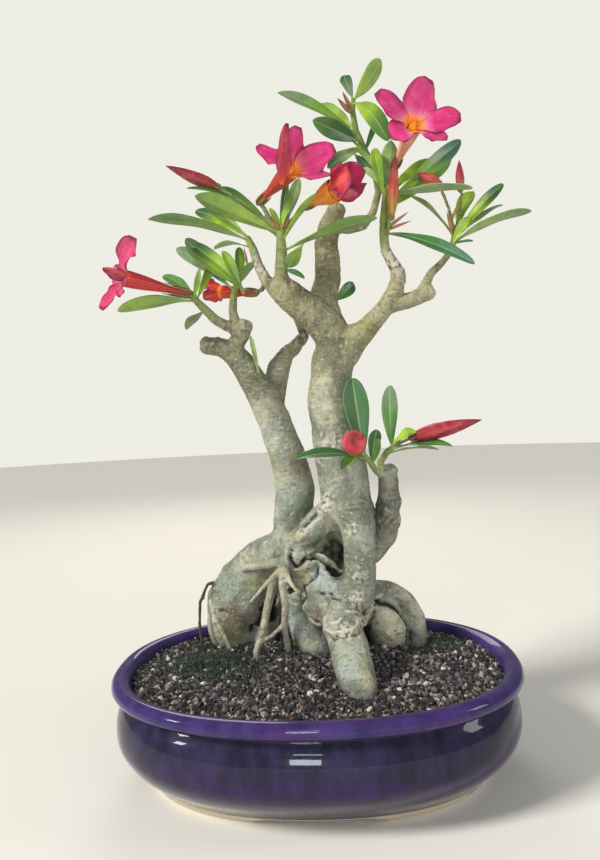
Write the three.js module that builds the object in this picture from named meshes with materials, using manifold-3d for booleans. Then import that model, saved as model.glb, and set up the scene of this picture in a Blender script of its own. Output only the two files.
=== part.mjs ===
// A potted desert rose (Adenium): an oval glazed pot of gritty soil, a swollen trunk standing on
// bare roots, and the leaves, flowers and buds that its twigs carry.
// Millimetres. +Z is up, +X runs along the pot and the front is towards -Y.

import * as THREE from 'three';
import { mergeVertices } from 'three/addons/utils/BufferGeometryUtils.js';
import loadManifold from 'manifold-3d';

const wasm = await loadManifold();
wasm.setup();

// ---- Driving dimensions ----

const GAP = 0.3; // clearance between pieces that touch

const POT_LENGTH = 300;
const POT_DEPTH = 230;
const POT_SQUARENESS = 2.25; // exponent of the superellipse; 2 is a plain ellipse
const POT_SIDES = 36;
const BELLY_HEIGHT = 42; // below it the wall draws in further at the front and back
const FRONT_UNDERCUT = 0.3;

const FOOT_HEIGHT = 6;
const FLOOR_TOP = 15;
const FOOT_GAP_LENGTH = 96; // the arch between the feet, at the front and the back
const FOOT_GAP_HEIGHT = 4.5;
const FOOT_GAP_ENDS = 18; // length of the slope at each end of the arch

const DRAIN_X = 55;
const DRAIN_RADIUS = 9;
const DRAIN_SIDES = 20;
const SCREEN_RADIUS = 14;
const SCREEN_THICKNESS = 1.2;
const SCREEN_HOLE = 4;
const SCREEN_PITCH = 5.4;

const SOIL_EDGE = 72; // height of the soil at the rim
const SOIL_RISE = 5; // extra height of the soil under the plant
const SOIL_CENTRE = [-14, 32];
const SOIL_SPREAD = 62;
const SOIL_RINGS = [15, 34, 54, 74, 96]; // insets of the rings across the top of the soil

const MOSS_SIDES = 14;
const MOSS_UNDER = [0.3, 0.65, 1]; // shares of a patch's radius, from its middle to its edge
const MOSS_OVER = [[1.02, 0.35], [0.85, 0.75], [0.6, 0.95], [0.3, 1]]; // [share of radius, of height]

const LIMB_SIDES = [[12, 10], [6, 8], [3.5, 6], [0, 5]]; // [thicker than this, sides]
const LIMB_END = { narrowing: 0.4, bulge: 0.45 }; // how a limb's end rounds off

const LEAF_THICKNESS = 1.3;
const LEAF_FOLD = 0.22; // how far the edges rise beside the midrib, per unit of half width
const LEAF_TIP_WIDTH = 0.6;
const PETIOLE_WIDTH = 1.6;
const LEAF_STATIONS = 7;
const LEAF_SWELL = { late: 1.7, blunt: 0.65 }; // how far up the leaf it is widest, and how round

const LOBE = [0.3, 0.88, 1, 0.88]; // a petal's reach at each point of its fifth of the rim
const PETAL_THICKNESS = 1;
const TUBE_WALL = 1;

const BUD_SIDES = 8;
const BUD_PROFILE = [ // [share of the length, share of the radius]
  [0, 0.3], [0.15, 0.7], [0.35, 1], [0.6, 0.85], [0.85, 0.4], [1, 0.08],
];

// ---- Colours ----

const finish = (color, roughness) => new THREE.MeshStandardMaterial({ color, roughness, metalness: 0 });
const GLAZE = finish('#2a1a6b', 0.12);
const SOIL = finish('#3b3133', 0.95);
const BARK = finish('#8f8f76', 0.8);
const MOSS = finish('#33452a', 0.95);
const MESH = finish('#22262a', 0.6);
const LEAF = finish('#4f8a34', 0.35);
const PETAL = finish('#d92f7c', 0.5);
const BUD = finish('#b52a3c', 0.5);

// ---- Solids ----

const vector = ([x, y, z]) => new THREE.Vector3(x, y, z);

function mean(points) {
  const sum = points.reduce((total, p) => total.add(p), new THREE.Vector3());
  return sum.divideScalar(points.length);
}

// A closed mesh as a solid that can be joined and cut.
function toSolid(geometry) {
  const bare = geometry.clone();
  bare.deleteAttribute('normal');
  bare.deleteAttribute('uv');
  const merged = mergeVertices(bare, 1e-4);
  const vertProperties = new Float32Array(merged.attributes.position.array);
  const triVerts = new Uint32Array(merged.index.array);
  return new wasm.Manifold(new wasm.Mesh({ numProp: 3, vertProperties, triVerts }));
}

function toGeometry(solid) {
  const mesh = solid.getMesh();
  const geometry = new THREE.BufferGeometry();
  geometry.setAttribute('position', new THREE.BufferAttribute(new Float32Array(mesh.vertProperties), 3));
  geometry.setIndex(new THREE.BufferAttribute(new Uint32Array(mesh.triVerts), 1));
  geometry.computeVertexNormals();
  return geometry;
}

const join = (solids) => solids.reduce((all, solid) => all.add(solid));

// What is left of a solid after the cut, without any crumb that the cut leaves behind.
function trim(solid, cutter) {
  const pieces = solid.subtract(cutter).decompose();
  return pieces.reduce((best, piece) => (piece.volume() > best.volume() ? piece : best));
}

// The skin over a row of rings with equal numbers of points, closed by a fan at each end.
function loft(rings) {
  const sides = rings[0].length;
  const points = [...rings.flat(), mean(rings[0]), mean(rings.at(-1))];
  const index = [];
  for (let row = 0; row + 1 < rings.length; row += 1) {
    for (let side = 0; side < sides; side += 1) {
      const a = row * sides + side;
      const b = row * sides + ((side + 1) % sides);
      index.push(a, b, b + sides, a, b + sides, a + sides);
    }
  }
  const first = points.length - 2;
  const last = points.length - 1;
  const lastRow = (rings.length - 1) * sides;
  for (let side = 0; side < sides; side += 1) {
    const next = (side + 1) % sides;
    index.push(first, next, side, last, lastRow + side, lastRow + next);
  }
  const numbers = points.flatMap((p) => p.toArray());
  const geometry = new THREE.BufferGeometry();
  geometry.setAttribute('position', new THREE.Float32BufferAttribute(numbers, 3));
  geometry.setIndex(index);
  const solid = toSolid(geometry);
  if (solid.volume() > 0) return solid;
  geometry.setIndex(index.reverse());
  return toSolid(geometry);
}

// Rings of a round section along a path of [x, y, z, radius] points, one ring at each point.
function roundRings(points, sides, extra = 0) {
  const path = points.map(vector);
  const along = path[1].clone().sub(path[0]).normalize();
  const across = new THREE.Vector3(0.31, 0.87, 0.38).cross(along).normalize();
  return path.map((centre, place) => {
    const before = path[Math.max(place - 1, 0)];
    const after = path[Math.min(place + 1, path.length - 1)];
    const tangent = after.clone().sub(before).normalize();
    across.applyQuaternion(new THREE.Quaternion().setFromUnitVectors(along, tangent));
    along.copy(tangent);
    return ring(centre, across, along, points[place][3] + extra, sides);
  });
}

// Points evenly round a circle, anticlockwise about the direction along.
function ring(centre, across, along, radius, sides) {
  const second = along.clone().cross(across).normalize();
  return Array.from({ length: sides }, (_, side) => {
    const angle = (2 * Math.PI * side) / sides;
    return centre.clone()
      .addScaledVector(across, radius * Math.cos(angle))
      .addScaledVector(second, radius * Math.sin(angle));
  });
}

// A tapering limb with rounded ends.
function limb(points, extra = 0) {
  const thickest = Math.max(...points.map(([, , , r]) => r));
  const sides = LIMB_SIDES.find(([limit]) => thickest > limit)[1];
  const rings = roundRings(points, sides, extra);
  return loft([domeRing(rings[0], rings[1]), ...rings, domeRing(rings.at(-1), rings.at(-2))]);
}

// A smaller ring just beyond an end of a limb, which rounds that end off.
function domeRing(end, neighbour) {
  const centre = mean(end);
  const outward = centre.clone().sub(mean(neighbour)).normalize();
  const radius = end[0].distanceTo(centre);
  return end.map((p) => p.clone()
    .lerp(centre, LIMB_END.narrowing)
    .addScaledVector(outward, LIMB_END.bulge * radius));
}

// ---- Pot ----

// One closed outline of the pot, drawn in from the outer edge of its lip.
function outline(inset, height) {
  const undercut = 1 + FRONT_UNDERCUT * Math.max(0, (BELLY_HEIGHT - height) / BELLY_HEIGHT);
  const a = POT_LENGTH / 2 - inset;
  const b = POT_DEPTH / 2 - inset * undercut;
  const power = (value) => Math.sign(value) * Math.abs(value) ** (2 / POT_SQUARENESS);
  return Array.from({ length: POT_SIDES }, (_, side) => {
    const angle = (2 * Math.PI * side) / POT_SIDES;
    return new THREE.Vector3(a * power(Math.cos(angle)), b * power(Math.sin(angle)), height);
  });
}

const MIDDLE = 80; // inset of the innermost ring of the floor and the underside

const POT_OUTSIDE = [ // [inset, height], from the middle of the underside to the top of the lip
  [MIDDLE, FOOT_HEIGHT], [43, FOOT_HEIGHT], [40, 0], [28, 0], [24, 8], [14, 19], [6, 30], [2.5, 42],
  [3.5, 54], [9.5, 66], [9, 69], [3, 70.5], [0, 75], [1.5, 79], [6, 81],
];
const POT_INSIDE = [ // [inset, height], from the top of the lip to the edge of the floor
  [10, 80], [13, 77], [14, 72], [12, 48], [18, 26], [32, FLOOR_TOP],
];

// An upright disc over one of the drain holes, between two heights.
function drainDisc(side, radius, bottom, top) {
  const disc = new THREE.CylinderGeometry(radius, radius, top - bottom, DRAIN_SIDES);
  disc.rotateX(Math.PI / 2);
  disc.translate(side * DRAIN_X, 0, (bottom + top) / 2);
  return toSolid(disc);
}

// The low arch between the feet, cut right across the pot from front to back.
function footArch() {
  const half = FOOT_GAP_LENGTH / 2;
  const knee = half - FOOT_GAP_ENDS / 3;
  const top = half - FOOT_GAP_ENDS;
  const arch = new THREE.Shape();
  arch.moveTo(-half, -FOOT_HEIGHT);
  arch.lineTo(half, -FOOT_HEIGHT);
  arch.lineTo(knee, FOOT_GAP_HEIGHT * 0.8);
  arch.lineTo(top, FOOT_GAP_HEIGHT);
  arch.lineTo(-top, FOOT_GAP_HEIGHT);
  arch.lineTo(-knee, FOOT_GAP_HEIGHT * 0.8);
  const block = new THREE.ExtrudeGeometry(arch, { depth: POT_DEPTH, bevelEnabled: false });
  block.rotateX(Math.PI / 2);
  block.translate(0, POT_DEPTH / 2, 0);
  return toSolid(block);
}

function makePot() {
  const walls = [...POT_OUTSIDE, ...POT_INSIDE, [MIDDLE, FLOOR_TOP]];
  const body = loft(walls.map(([inset, height]) => outline(inset, height)));
  const holes = [-1, 1].map((side) => drainDisc(side, DRAIN_RADIUS, 0, 2 * FLOOR_TOP));
  return body.subtract(join([...holes, footArch()]));
}

// A round plastic mesh that keeps the soil in above a drain hole.
function drainScreen(side) {
  const bottom = FLOOR_TOP + GAP;
  const openings = [-1, 0, 1].flatMap((row) => [-1, 0, 1].map((column) => {
    const opening = new THREE.BoxGeometry(SCREEN_HOLE, SCREEN_HOLE, 4 * SCREEN_THICKNESS);
    opening.translate(side * DRAIN_X + column * SCREEN_PITCH, row * SCREEN_PITCH, bottom);
    return toSolid(opening);
  }));
  return drainDisc(side, SCREEN_RADIUS, bottom, bottom + SCREEN_THICKNESS).subtract(join(openings));
}

// The room that a drain screen takes up in the soil.
const screenRoom = (side) => drainDisc(
  side, SCREEN_RADIUS + GAP, FLOOR_TOP, FLOOR_TOP + SCREEN_THICKNESS + 2 * GAP,
);

// ---- Soil and moss ----

function soilHeight(x, y) {
  const [cx, cy] = SOIL_CENTRE;
  const distance = Math.hypot(x - cx, (y - cy) * 1.4) / SOIL_SPREAD;
  return SOIL_EDGE + SOIL_RISE * Math.exp(-distance * distance);
}

function makeSoil(trunkRoom) {
  const sides = POT_INSIDE.filter(([, height]) => height <= SOIL_EDGE).reverse();
  const wall = sides.map(([inset, height]) => outline(inset + GAP, Math.max(height, FLOOR_TOP + GAP)));
  const top = SOIL_RINGS.map((inset) => outline(inset, SOIL_EDGE)
    .map((p) => new THREE.Vector3(p.x, p.y, soilHeight(p.x, p.y))));
  const soil = loft([outline(MIDDLE, FLOOR_TOP + GAP), ...wall, ...top]);
  return trim(soil, join([trunkRoom, screenRoom(-1), screenRoom(1)]));
}

// A low cushion of moss that follows the soil, on an uneven round patch.
function mossPatch({ centre: [cx, cy], radius, height }, trunkRoom) {
  const edge = (angle) => radius * (1 + 0.16 * Math.sin(3 * angle + 1) + 0.1 * Math.sin(5 * angle));
  const layer = (spread, rise) => Array.from({ length: MOSS_SIDES }, (_, side) => {
    const angle = (2 * Math.PI * side) / MOSS_SIDES;
    const x = cx + spread * edge(angle) * Math.cos(angle);
    const y = cy + 0.75 * spread * edge(angle) * Math.sin(angle);
    return new THREE.Vector3(x, y, soilHeight(x, y) + GAP + rise);
  });
  const under = MOSS_UNDER.map((spread) => layer(spread, 0.1));
  const over = MOSS_OVER.map(([spread, rise]) => layer(spread, height * rise));
  return trim(loft([...under, ...over]), trunkRoom);
}

const MOSS_PATCHES = {
  moss_left: { centre: [-84, 8], radius: 25, height: 3.2 },
  moss_right: { centre: [101, 44], radius: 11, height: 2.6 },
};

// ---- Trunk, branches and roots, grown as one piece ----

// Each limb is a list of [x, y, z, radius] points.
const TRUNKS = {
  main_trunk: [
    [34, 50, 150, 15], [31, 43, 168, 19], [29, 37, 184, 21.5], [27, 35, 200, 21], [26, 35, 220, 20],
    [21, 36, 250, 19], [18, 37, 278, 18], [22, 38, 304, 17.5], [28, 38, 322, 16],
  ],
  left_trunk: [
    [-20, 58, 148, 18], [-16, 56, 170, 17], [-13, 54, 201, 16.5], [-18, 52, 230, 15], [-28, 50, 260, 13.8],
    [-40, 48, 287, 12], [-51, 46, 306, 10.5], [-62, 44, 319, 8.5],
  ],
  left_stub: [[-53, 45, 308, 9], [-67, 43, 320, 8], [-81, 41, 322, 7.4]],
  left_knuckle: [[-61, 44, 314, 7.3], [-52, 42, 327, 6.8], [-47, 42, 337, 6.4]],
  second_branch: [
    [-31, 52, 264, 11], [-27, 58, 286, 10.7], [-23, 62, 303, 10], [-16, 65, 314, 7], [-7, 68, 321, 5.5],
    [-1, 73, 329, 4.7], [-5, 80, 341, 4], [-10, 86, 355, 3.4],
  ],
  left_branch: [
    [29, 38, 312, 16], [19, 34, 330, 15], [8, 30, 342, 13.8], [-3, 27, 350, 12.8], [-13, 25, 359, 11.5],
    [-20, 25, 366, 8],
  ],
  middle_branch: [
    [27, 42, 315, 14.5], [18, 48, 340, 13.2], [16, 52, 357, 11.8], [21, 54, 373, 11], [21, 55, 388, 10.3],
    [20, 56, 402, 9.8], [24, 56, 416, 9], [31, 56, 430, 7.4],
  ],
  right_branch: [
    [30, 36, 311, 15.5], [39, 32, 321, 11.8], [49, 26, 327, 9], [58, 22, 336, 7.7], [66, 18, 345, 7],
    [72, 16, 356, 6.3], [74, 15, 368, 5.7], [69, 14, 376, 4.6], [65, 13, 384, 4],
  ],
  side_branch: [[67, 18, 343, 6.2], [78, 17, 345, 6.1], [87, 16, 348, 6.1], [98, 15, 352, 5.7]],
  right_stub: [
    [44, 44, 147, 10.5], [56, 40, 163, 11.6], [61, 38, 180, 10.4], [62, 38, 196, 8.8], [62, 38, 208, 8],
    [62, 38, 217, 7.6],
  ],
  right_knob: [[60, 38, 189, 7.5], [70, 37, 190, 5]],
};

const TWIGS = {
  low_left: [
    [-50, 42, 331, 5.2], [-61, 40, 336, 4.8], [-71, 38, 342, 4.4], [-79, 35, 351, 3.8], [-87, 32, 360, 2.8],
  ],
  mid_left: [[-54, 42, 332, 4.8], [-57, 44, 349, 3.9], [-56, 46, 360, 3.4], [-53, 48, 372, 2.6]],
  upper_left: [
    [-19, 27, 359, 6.3], [-28, 30, 370, 4.7], [-34, 34, 383, 4], [-38, 38, 397, 3.5], [-42, 40, 406, 2.6],
  ],
  centre: [[-14, 25, 354, 8], [-15, 22, 374, 5.4], [-14, 20, 390, 4.5], [-14, 18, 405, 3.4]],
  top: [
    [28, 56, 415, 5.5], [40, 52, 411, 4.2], [51, 48, 412, 3.8], [59, 46, 422, 3.5], [64, 46, 438, 3.3],
    [62, 48, 455, 3.2], [55, 50, 471, 3], [48, 50, 488, 2.8], [46, 50, 504, 2.5], [47, 50, 514, 2],
  ],
  right: [[65, 13, 382, 4], [64, 12, 393, 3.9], [64, 11, 403, 3.4], [65, 10, 416, 2.8], [66, 10, 428, 2.2]],
  far_right: [
    [89, 16, 348, 5], [94, 15, 358, 4], [99, 16, 366, 3.4], [107, 17, 373, 3.1], [112, 18, 379, 2.9],
    [116, 19, 386, 2.8], [118, 20, 395, 2.3],
  ],
  shoot_left: [[61, 36, 210, 4], [52, 26, 217, 2.9], [47, 18, 225, 2.4], [41, 12, 233, 1.8]],
  shoot_right: [[59, 36, 211, 4], [56, 30, 223, 3], [61, 26, 231, 2.8], [68, 24, 237, 2.2]],
};

const FLOWER_STALKS = {
  left_flower: [[-80, 34, 352, 3], [-89, 31, 361, 2.4]],
  hidden_flower: [[-28, 30, 370, 3], [-32, 40, 364, 2.2], [-38, 46, 363, 1.8]],
  centre_flower: [[-14, 18, 403, 2.6], [-22, 15, 414, 1.9], [-28, 14, 425, 1.9]],
  fading_flower: [[-14, 19, 401, 2.8], [-4, 17, 412, 1.9], [6, 16, 421, 1.9]],
  top_flower: [[66, 10, 424, 2.4], [72, 14, 437, 1.8], [75, 17, 447, 1.8]],
  shoot_bud: [[67, 24, 236, 2.2], [73, 21, 239, 1.5], [80, 18, 242, 1.6]],
  round_bud: [[42, 13, 231, 2], [39, 10, 236, 1.6], [37, 7, 240, 1.8]],
  upright_bud: [[64, 12, 392, 3], [67, 6, 398, 1.8], [68, 4, 405, 1.8]],
  side_bud: [[118, 20, 393, 2.4], [114, 17, 413, 1.5], [107, 14, 431, 1.5]],
  far_bud: [[118, 20, 393, 2.4], [123, 23, 411, 1.4], [125, 23, 428, 1.4]],
  left_bud: [[-14, 18, 403, 2.4], [-33, 15, 419, 1.5], [-48, 14, 431, 1.5], [-59, 13, 437, 1.6]],
};

const ROOTS = {
  left_lobe: [
    [-14, 56, 160, 16], [-28, 57, 149, 19.5], [-44, 58, 137, 22.5], [-58, 58, 125, 24.5],
    [-67, 59, 108, 25.5], [-71, 61, 87, 22.5], [-71, 63, 65, 17],
  ],
  inner_lobe: [[-22, 50, 135, 15], [-37, 54, 112, 12.5], [-43, 56, 93, 13], [-47, 58, 68, 12]],
  mid_bulge: [[4, 40, 166, 15], [-6, 35, 156, 13], [-11, 30, 145, 12.5], [-15, 34, 132, 12]],
  ridge: [[20, 30, 188, 13], [6, 25, 178, 12], [-5, 23, 168, 10.5], [-14, 23, 158, 8.5], [-20, 23, 149, 6]],
  curl: [[-5, 24, 162, 8], [-10, 21, 153, 7.5], [-5, 22, 147, 7], [3, 22, 148, 8], [12, 22, 140, 10]],
  shoulder: [[-2, 30, 144, 10], [8, 24, 136, 13], [18, 20, 127, 14.5], [30, 20, 125, 14]],
  pillar: [
    [31, 26, 190, 17], [36, 20, 172, 13.5], [37, 17, 157, 13.2], [36, 17, 140, 13.5], [31, 18, 118, 14.5],
  ],
  cheek: [[12, 26, 136, 14], [5, 22, 125, 15.5], [2, 21, 115, 15], [8, 20, 104, 11]],
  front_root: [
    [25, 20, 122, 14.5], [21, 10, 111, 15.2], [21, 3, 102, 15.6], [23, -2, 97, 14.6], [26, -16, 89, 14.8],
    [29, -33, 80, 14.2], [32, -46, 73, 12.2], [34, -56, 66, 8.6],
  ],
  mid_root: [[-14, 38, 126, 13], [-13, 36, 111, 14], [-8, 34, 94, 15], [-1, 31, 79, 15], [5, 28, 62, 12.5]],
  right_ball: [[42, 42, 115, 13], [52, 46, 100, 16.2], [58, 48, 89, 18.6], [60, 50, 70, 14.5]],
  right_arch: [
    [38, 46, 112, 10], [51, 47, 120, 8], [62, 48, 117, 7.4], [74, 48, 109, 7.1], [82, 46, 95, 6.8],
    [83, 44, 81, 6.6], [79, 41, 64, 6.4],
  ],
  back_root: [[28, 50, 140, 17], [30, 62, 115, 15], [34, 73, 88, 12], [37, 80, 63, 8.5]],
  back_left_root: [[-12, 58, 142, 17], [-22, 68, 115, 15], [-30, 76, 93, 11.5], [-36, 81, 70, 8.5]],
  core: [[10, 58, 172, 18], [4, 58, 145, 21], [2, 54, 116, 21], [4, 48, 84, 17]],
};

const FINE_ROOTS = {
  hanging_centre: [
    [-20, 24, 152, 5], [-24, 12, 134, 3.3], [-22, 12, 117, 3.3], [-24, 17, 98, 3], [-21, 26, 70, 2.6],
  ],
  hanging_left: [
    [-32, 38, 132, 4.5], [-38, 24, 110, 3.5], [-41, 16, 96, 3.1], [-46, 12, 83, 2.9], [-46, 9, 67, 2.4],
  ],
  linking: [[-24, 14, 102, 2.2], [-33, 13, 94, 1.8], [-42, 15, 88, 1.8]],
  loose_left: [[-24, 18, 145, 3], [-37, 7, 134, 1.8], [-48, 1, 123, 1.3]],
  loose_right: [[-22, 17, 144, 3], [-17, 9, 135, 2], [-11, 5, 128, 1.5]],
  over_lobe: [[-22, 22, 149, 4.5], [-38, 26, 146, 3.8], [-52, 33, 143, 3.8], [-60, 41, 139, 3.4]],
  aerial: [
    [-76, 50, 130, 2.4], [-88, 46, 127, 1.6], [-94, 42, 114, 1.5], [-95, 40, 97, 1.5], [-92, 36, 68, 1.5],
  ],
  pale: [
    [-83, 50, 124, 2.8], [-84, 43, 112, 2.6], [-80, 37, 99, 2.6], [-73, 35, 85, 2.4], [-66, 34, 68, 2],
  ],
  curl: [[58, 50, 112, 3.5], [50, 42, 113, 2.4], [44, 34, 106, 2.4]],
  beside_pillar: [[46, 26, 152, 2.4], [47, 24, 132, 2.3], [45, 20, 114, 2.4], [37, 6, 103, 2.8]],
};

const limbs = (groups, extra = 0) => join(
  groups.flatMap((group) => Object.values(group)).map((points) => limb(points, extra)),
);

const WOODY = [TRUNKS, TWIGS, FLOWER_STALKS, ROOTS, FINE_ROOTS];

// ---- Leaves ----

// A leaf grows from the middle of its twig, so that the twig's cut leaves its stalk a fitted seat.
// base and tip are points, up is the way its upper side faces, arch lifts its middle.
function leafSolid([base, tip, width, up, arch]) {
  const start = vector(base);
  const end = vector(tip);
  const length = start.distanceTo(end);
  const along = end.clone().sub(start).normalize();
  const side = along.clone().cross(vector(up)).normalize();
  const face = side.clone().cross(along).normalize();
  const middle = start.clone().lerp(end, 0.5).addScaledVector(face, 2 * arch * length);
  const curve = new THREE.QuadraticBezierCurve3(start, middle, end);
  const rings = [];
  for (let station = 0; station <= LEAF_STATIONS; station += 1) {
    const t = station / LEAF_STATIONS;
    const swell = Math.sin(Math.PI * t ** LEAF_SWELL.late) ** LEAF_SWELL.blunt;
    const least = t < 0.5 ? PETIOLE_WIDTH : LEAF_TIP_WIDTH;
    const half = Math.max(least, width * swell) / 2;
    const normal = side.clone().cross(curve.getTangent(t)).normalize();
    const thick = (LEAF_THICKNESS / 2) * (t < 0.9 ? 1 : 0.5);
    const at = (across, rise) => curve.getPoint(t)
      .addScaledVector(side, across)
      .addScaledVector(normal, rise);
    rings.push([at(-half, LEAF_FOLD * half), at(0, -thick), at(half, LEAF_FOLD * half), at(0, thick)]);
  }
  return loft(rings);
}

const UPPER = [0, -1, 0.35]; // upper side towards the front
const UNDER = [0, 0.75, 0.65]; // upper side up and back, so that the paler underside shows
const SKY = [0, 0.15, 1]; // upper side up

// Each twig's leaves, in order: [base, tip, width, way the upper side faces, arch].
const LEAVES = {
  centre: [
    [[-14, 18, 402], [-73, -12, 425], 17, [-0.2, 0.6, 0.75], 0.06],
    [[-15, 22, 399], [-62, 30, 443], 14, [0.15, -0.95, 0.28], 0.1],
    [[-14, 19, 400], [1, 36, 449], 9, UPPER, 0.05],
    [[-14, 20, 393], [15, -12, 422], 9, [-0.5, 0.3, 0.8], 0.06],
    [[-14, 20, 388], [58, -8, 403], 13, [-0.1, 0.5, 0.9], 0.07],
    [[-14, 22, 373], [2, 4, 388], 11, UNDER, 0.05],
  ],
  upper_left: [
    [[-40, 39, 402], [-115, 14, 417], 13, [-0.15, 0.45, 0.9], 0.09],
    [[-41, 40, 405], [-88, 70, 438], 12, [-0.6, -0.6, 0.6], 0.06],
    [[-39, 38, 396], [-76, 84, 408], 11, SKY, 0.08],
  ],
  mid_left: [
    [[-54, 48, 370], [-89, 26, 404], 13, [-0.6, 0.5, 0.7], 0.08],
    [[-56, 46, 366], [-107, 76, 409], 12, UPPER, 0.06],
    [[-53, 48, 371], [-52, 64, 404], 9, [0.4, -0.9, 0.2], 0.04],
    [[-55, 47, 364], [-36, 30, 384], 9, [-0.3, 0.5, 0.8], 0.06],
  ],
  low_left: [
    [[-84, 33, 356], [-140, 8, 348], 13, [0.1, 0.75, 0.65], 0.07],
    [[-84, 33, 357], [-72, 57, 394], 8, [0.5, -0.8, 0.2], 0.05],
    [[-82, 34, 354], [-116, 60, 383], 11, [-0.4, -0.4, 0.85], 0.06],
    [[-77, 36, 348], [-99, 64, 338], 10, SKY, 0.06],
  ],
  top: [
    [[47, 50, 513], [69, 42, 540], 15, [-0.5, 0.75, 0.4], -0.05],
    [[47, 50, 512], [41, 66, 540], 10, UPPER, 0.04],
    [[50, 50, 483], [-13, 40, 518], 13, [-0.3, -0.75, 0.6], 0.08],
    [[47, 50, 490], [20, 80, 524], 12, UNDER, 0.05],
    [[51, 50, 480], [14, 22, 487], 15, [0.53, -0.79, -0.33], 0.06],
    [[47, 50, 509], [70, 10, 464], 15, [-0.25, -0.78, 0.57], 0.14],
    [[54, 50, 474], [24, 12, 447], 10, [0.42, -0.72, 0.55], 0.03],
    [[63, 47, 448], [48, 66, 474], 11, [-0.14, -0.84, 0.53], 0.05],
  ],
  right: [
    [[66, 10, 421], [74, 28, 471], 15, [0, 0.9, 0.2], 0.05],
    [[65, 10, 417], [129, 40, 472], 15, [0.4, -0.85, 0.1], 0.05],
    [[65, 10, 412], [126, 72, 471], 13, [0.4, -0.8, 0.35], 0.05],
    [[66, 10, 423], [126, -12, 419], 11, [0.05, 0.3, 0.95], 0.02],
    [[64, 12, 396], [124, -20, 364], 14, [-0.2, -0.85, 0.45], 0.09],
  ],
  far_right: [
    [[118, 20, 394], [136, 40, 432], 12, [-0.3, -0.85, 0.4], 0.05],
    [[118, 20, 392], [152, 5, 426], 11, [-0.25, -0.9, 0.1], 0.05],
    [[117, 20, 390], [162, 50, 423], 12, [-0.4, -0.5, 0.75], 0.06],
    [[116, 19, 387], [169, -4, 403], 12, [-0.15, 0.4, 0.9], 0.07],
    [[118, 20, 391], [88, 40, 431], 10, [0.6, 0, 0.8], 0.06],
  ],
  back: [
    [[24, 58, 354], [42, 68, 370], 11, [0.5, -0.8, 0.3], 0.06],
  ],
  shoot: [
    [[43, 14, 231], [36, 8, 289], 19, [0.06, -0.99, -0.09], -0.03],
    [[65, 25, 234], [66, 34, 283], 13, [-0.15, -0.97, 0.18], -0.03],
    [[48, 19, 223], [54, 24, 249], 10, UPPER, 0.04],
    [[45, 16, 227], [-9, -10, 231], 13, [-0.1, -0.55, 0.85], 0.08],
    [[62, 26, 232], [108, 2, 235], 11, [0.1, -0.5, 0.85], 0.07],
    [[60, 27, 229], [106, 62, 229], 10, SKY, 0.06],
  ],
};

// ---- Flowers and buds ----

// A funnel whose rim opens into five lobes. flare is how far they turn back from the tube's own
// line: 0 keeps them along it and 1 sets them square to it.
function flowerSolid({ base, mouth, tube, throat, petal, spin, flare }) {
  const start = vector(base);
  const axis = vector(mouth).sub(start);
  const length = axis.length();
  axis.normalize();
  const across = axis.clone().cross(new THREE.Vector3(0, 0, 1)).applyAxisAngle(axis, spin).normalize();
  const tubeRing = (share, radius) => ring(
    start.clone().addScaledVector(axis, share * length), across, axis, radius, 5 * LOBE.length,
  );
  const outwards = Math.sin((flare * Math.PI) / 2);
  const forwards = Math.cos((flare * Math.PI) / 2);
  const lobedRing = (share, lift) => tubeRing(1, throat).map((point, side) => {
    const outward = point.clone().sub(vector(mouth)).normalize();
    const reach = petal * share * LOBE[side % LOBE.length];
    return point.addScaledVector(outward, reach * outwards).addScaledVector(axis, reach * forwards + lift);
  });
  const outside = [tubeRing(0, tube), tubeRing(0.35, tube * 1.2), tubeRing(0.7, throat * 0.75)];
  const lobes = [lobedRing(0.05, -PETAL_THICKNESS), lobedRing(0.5, -PETAL_THICKNESS), lobedRing(1, 0)];
  const face = [lobedRing(0.5, 0), tubeRing(1, throat - TUBE_WALL), tubeRing(0.65, throat * 0.45)];
  return loft([...outside, ...lobes, ...face]);
}

const FLOWERS = {
  flower_left: {
    base: [-90, 31, 362], mouth: [-135, 4, 372], tube: 2.6, throat: 7, petal: 22, spin: 0.35, flare: 0.95,
  },
  flower_hidden: {
    base: [-39, 47, 363], mouth: [-69, 59, 367], tube: 2.4, throat: 6, petal: 17, spin: 0.9, flare: 0.4,
  },
  flower_centre: {
    base: [-28, 14, 426], mouth: [-1, -16, 439], tube: 2.6, throat: 7, petal: 25, spin: 0.31, flare: 0.7,
  },
  flower_fading: {
    base: [6, 16, 421], mouth: [31, -4, 427], tube: 2.6, throat: 8, petal: 17, spin: 0.76, flare: 0.18,
  },
  flower_top: {
    base: [75, 17, 448], mouth: [86, -20, 464], tube: 2.6, throat: 7, petal: 27, spin: 0.08, flare: 0.8,
  },
};

// A pointed spindle, fattest a third of the way up.
function budSolid({ base, tip, radius }) {
  const at = (t) => vector(base).lerp(vector(tip), t).toArray();
  const points = BUD_PROFILE.map(([t, share]) => [...at(t), radius * share]);
  return loft(roundRings(points, BUD_SIDES));
}

const BUDS = {
  bud_shoot: { base: [80, 18, 242], tip: [130, 3, 254], radius: 5.3 },
  bud_round: { base: [37, 7, 240], tip: [33, -20, 246], radius: 7.8 },
  bud_upright: { base: [68, 4, 406], tip: [74, -3, 449], radius: 4.8 },
  bud_side: { base: [107, 14, 432], tip: [90, 8, 438], radius: 4.2 },
  bud_far: { base: [125, 23, 429], tip: [124, 25, 452], radius: 3.6 },
  bud_left: { base: [-60, 13, 437], tip: [-97, 5, 454], radius: 4.2 },
};

// ---- Assembly ----

const part = new THREE.Group();

function place(name, solid, material) {
  const mesh = new THREE.Mesh(toGeometry(solid), material);
  mesh.name = name;
  part.add(mesh);
}

const trunkRoom = limbs(WOODY, GAP);

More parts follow.
